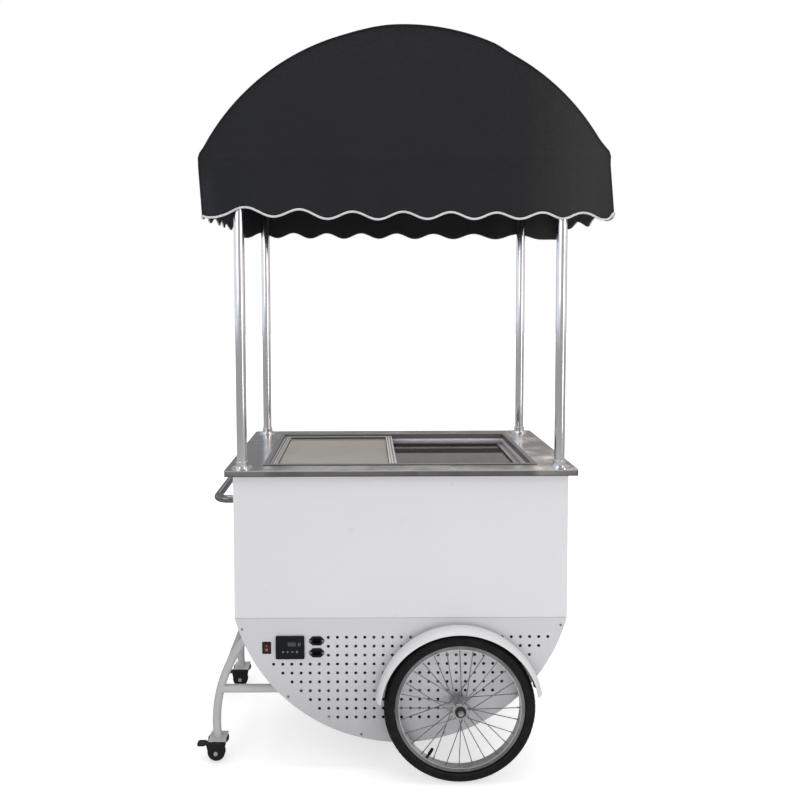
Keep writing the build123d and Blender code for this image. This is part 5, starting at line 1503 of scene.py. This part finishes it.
screw_boxes = islands("panel_screws")
screw_sets = {"front": [], "back": []}
for low, high in screw_boxes:
    centre = (low + high) / 2
    face, place = ("front", low.y) if centre.y < 0 else ("back", high.y)
    screw_sets[face].append((centre.x, place, centre.z))
head_radius = max(high.x - low.x for low, high in screw_boxes) / 2
head_height = 0.0016
head = screw_mesh("screw_head", head_radius, head_height)
scene.collection.objects.link(head)
for face, sign in (("front", -1), ("back", 1)):
    places = [(x, y - sign * head_height, z) for x, y, z in screw_sets[face]]
    made = grow(f"{face}_screws", driving, places, Head=head, Turn=(-sign * pi / 2, 0.0, 0.0), Seed=4,
                Finish=screw_metal)
    seat(made, "chassis", screw_metal, "screw_steel", *(["panel_screws"] if face == "front" else []))
screw_counts = {face: len(places) for face, places in screw_sets.items()}
print("screws:", screw_counts, "head radius", round(head_radius, 4))

# %% Screws on the pole flanges
flange_ring = 0.0268
flange_angles = (30, 150, 270)
ray_start = 0.1
scene.collection.objects.link(flange_head)
flange_tree = solid_tree("pole_flanges")
flange_places = []
for low, high in islands("pole_flanges"):
    centre = (low + high) / 2
    for angle in map(radians, flange_angles):
        x, y = centre.x + flange_ring * cos(angle), centre.y + flange_ring * sin(angle)
        above = Vector((x, y, low.z + ray_start))
        flange_places.append(flange_tree.ray_cast(above, Vector((0, 0, -1)))[0])
flange_screws = grow("flange_screws", driving, [place for place in flange_places if place], Head=flange_head,
                     Turn=(0.0, 0.0, 0.0), Seed=9, Finish=nut_metal)
seat(flange_screws, "chassis", nut_metal, "screw_steel")
for spare in (head, flange_head):
    bpy.data.objects.remove(spare)
print("flange screws:", len(flange_places), "height", round(flange_places[0].z, 4))

# %% [markdown]
# ## Marks on the controls
# The controller's keys carry small printed marks, the rocker a ring and a bar, and the display three digits
# of bars. Each mark is a thin raised shape: a flat outline is cut into strips a tenth of a millimetre high.
# A ray shot at the solid finds the surface under each point, so a mark lies on a tilted face too.

# %% Printed marks
mark_stand = 0.00012
mark_sink = 0.0004


def surface_under(node):
    tree = solid_tree(node)

    def drop(x, z):
        hit = tree.ray_cast(Vector((x, -2.0, z)), Vector((0, 1, 0)))[0]
        return Vector((x, hit.y, z))

    return drop


def print_marks(name, body, finish, slot, node, outlines):
    """Strips between an outer and an inner line of (x, z) points, laid on a solid's front."""
    drop = surface_under(node)
    points, faces = [], []
    for outer, inner in outlines:
        count = len(outer)
        start = len(points)
        for stand in (mark_stand, -mark_sink):
            points.extend(drop(x, z) - Vector((0, stand, 0)) for x, z in list(outer) + list(inner))
        for step in range(count):
            after = (step + 1) % count
            for base in (start, start + 2 * count):
                faces.append((base + step, base + after, base + count + after, base + count + step))
            for line in (0, count):
                faces.append((start + line + step, start + line + after,
                              start + 2 * count + line + after, start + 2 * count + line + step))
    made = weld(make_piece(name, points, faces, False), 0.0000001)
    return seat(made, body, finish, slot)


def shape(x, z, radius, corners, turn=0.0, hole=0.5, squeeze=1.0):
    ring = [(radius * cos(tau * step / corners + turn), radius * squeeze * sin(tau * step / corners + turn))
            for step in range(corners)]
    return [(x + a, z + b) for a, b in ring], [(x + hole * a, z + hole * b) for a, b in ring]


def bar(x, z, width, height):
    half, tall = width / 2, height / 2
    outer = [(x - half, z - tall), (x + half, z - tall), (x + half, z + tall), (x - half, z + tall)]
    return outer, [(x + (a - x) * 0.05, z + (b - z) * 0.05) for a, b in outer]

print("marks stand", mark_stand)

# %% Keys and rocker
key_marks = (
    lambda x, z: [shape(x, z, 0.0030, 4, 0.0, 0.1)],
    lambda x, z: [shape(x, z, 0.0031, 3, -pi / 2, 0.1)],
    lambda x, z: [shape(x, z, 0.0031, 3, pi / 2, 0.1)],
    lambda x, z: [shape(x, z, 0.0030, 20, 0.0, 0.66), bar(x, z + 0.0024, 0.0008, 0.0024)],
)
for number, marks in enumerate(key_marks, 1):
    key_middle = middle(f"controller_key_{number}")
    print_marks(f"key_mark_{number}", f"key_{number}", mark_grey, "key_plastic", f"controller_key_{number}",
                marks(key_middle.x, key_middle.z))

rocker_low, rocker_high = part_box("switch_rocker")
rocker_x = (rocker_low.x + rocker_high.x) / 2
rocker_rise = rocker_high.z - rocker_low.z
print_marks("rocker_marks", "rocker", mark_pale, "red_plastic", "switch_rocker", [
    shape(rocker_x, rocker_low.z + 0.27 * rocker_rise, 0.0034, 24, 0.0, 0.72),
    bar(rocker_x, rocker_low.z + 0.74 * rocker_rise, 0.0010, 0.0064)])
print("marks on", len(key_marks), "keys and the rocker")

# %% Lamps and digits
screen_low, screen_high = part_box("controller_display")
lamp_gap, lamp_radius = 0.0085, 0.0011
word_gap, word_wide, word_tall = 0.0055, 0.0052, 0.0008
lamp_x = screen_high.x + lamp_gap
lamp_marks = []
for step in range(3):
    lamp_z = screen_low.z + (step + 0.5) * (screen_high.z - screen_low.z) / 3
    lamp_marks.append(shape(lamp_x, lamp_z, lamp_radius, 12, 0.0, 0.1))
    lamp_marks.append(bar(lamp_x + word_gap, lamp_z, word_wide, word_tall))
print_marks("lamp_marks", "chassis", mark_grey, "black_plastic", "controller_case", lamp_marks)

digit_bars = []
digit_wide, digit_tall, bar_wide = 0.0048, 0.0088, 0.0009
digit_pitch = 0.0074
upright = digit_tall / 2 - bar_wide
for digit in (-1, 0, 1):
    x = (screen_low.x + screen_high.x) / 2 + digit * digit_pitch
    z = (screen_low.z + screen_high.z) / 2
    digit_bars += [bar(x, z + rise * digit_tall / 2, digit_wide - bar_wide, bar_wide) for rise in (-1, 0, 1)]
    digit_bars += [bar(x + turn * digit_wide / 2, z + rise * digit_tall / 4, bar_wide, upright)
                   for turn in (-1, 1) for rise in (-1, 1)]
print_marks("display_bars", "chassis", case_black, "display", "controller_display", digit_bars)
print("lamp marks", len(lamp_marks), "digit bars", len(digit_bars))

# %% [markdown]
# ## Sizes and the end
# The visual model is measured against the solids, and how much it has grown on each axis is printed.

# %% Sizes
visual_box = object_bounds()
visual_size, solid_size = (high - low for low, high in (visual_box, solid_box))
print("grown by", [round(1000 * (a - b), 1) for a, b in zip(visual_size, solid_size)], "mm")
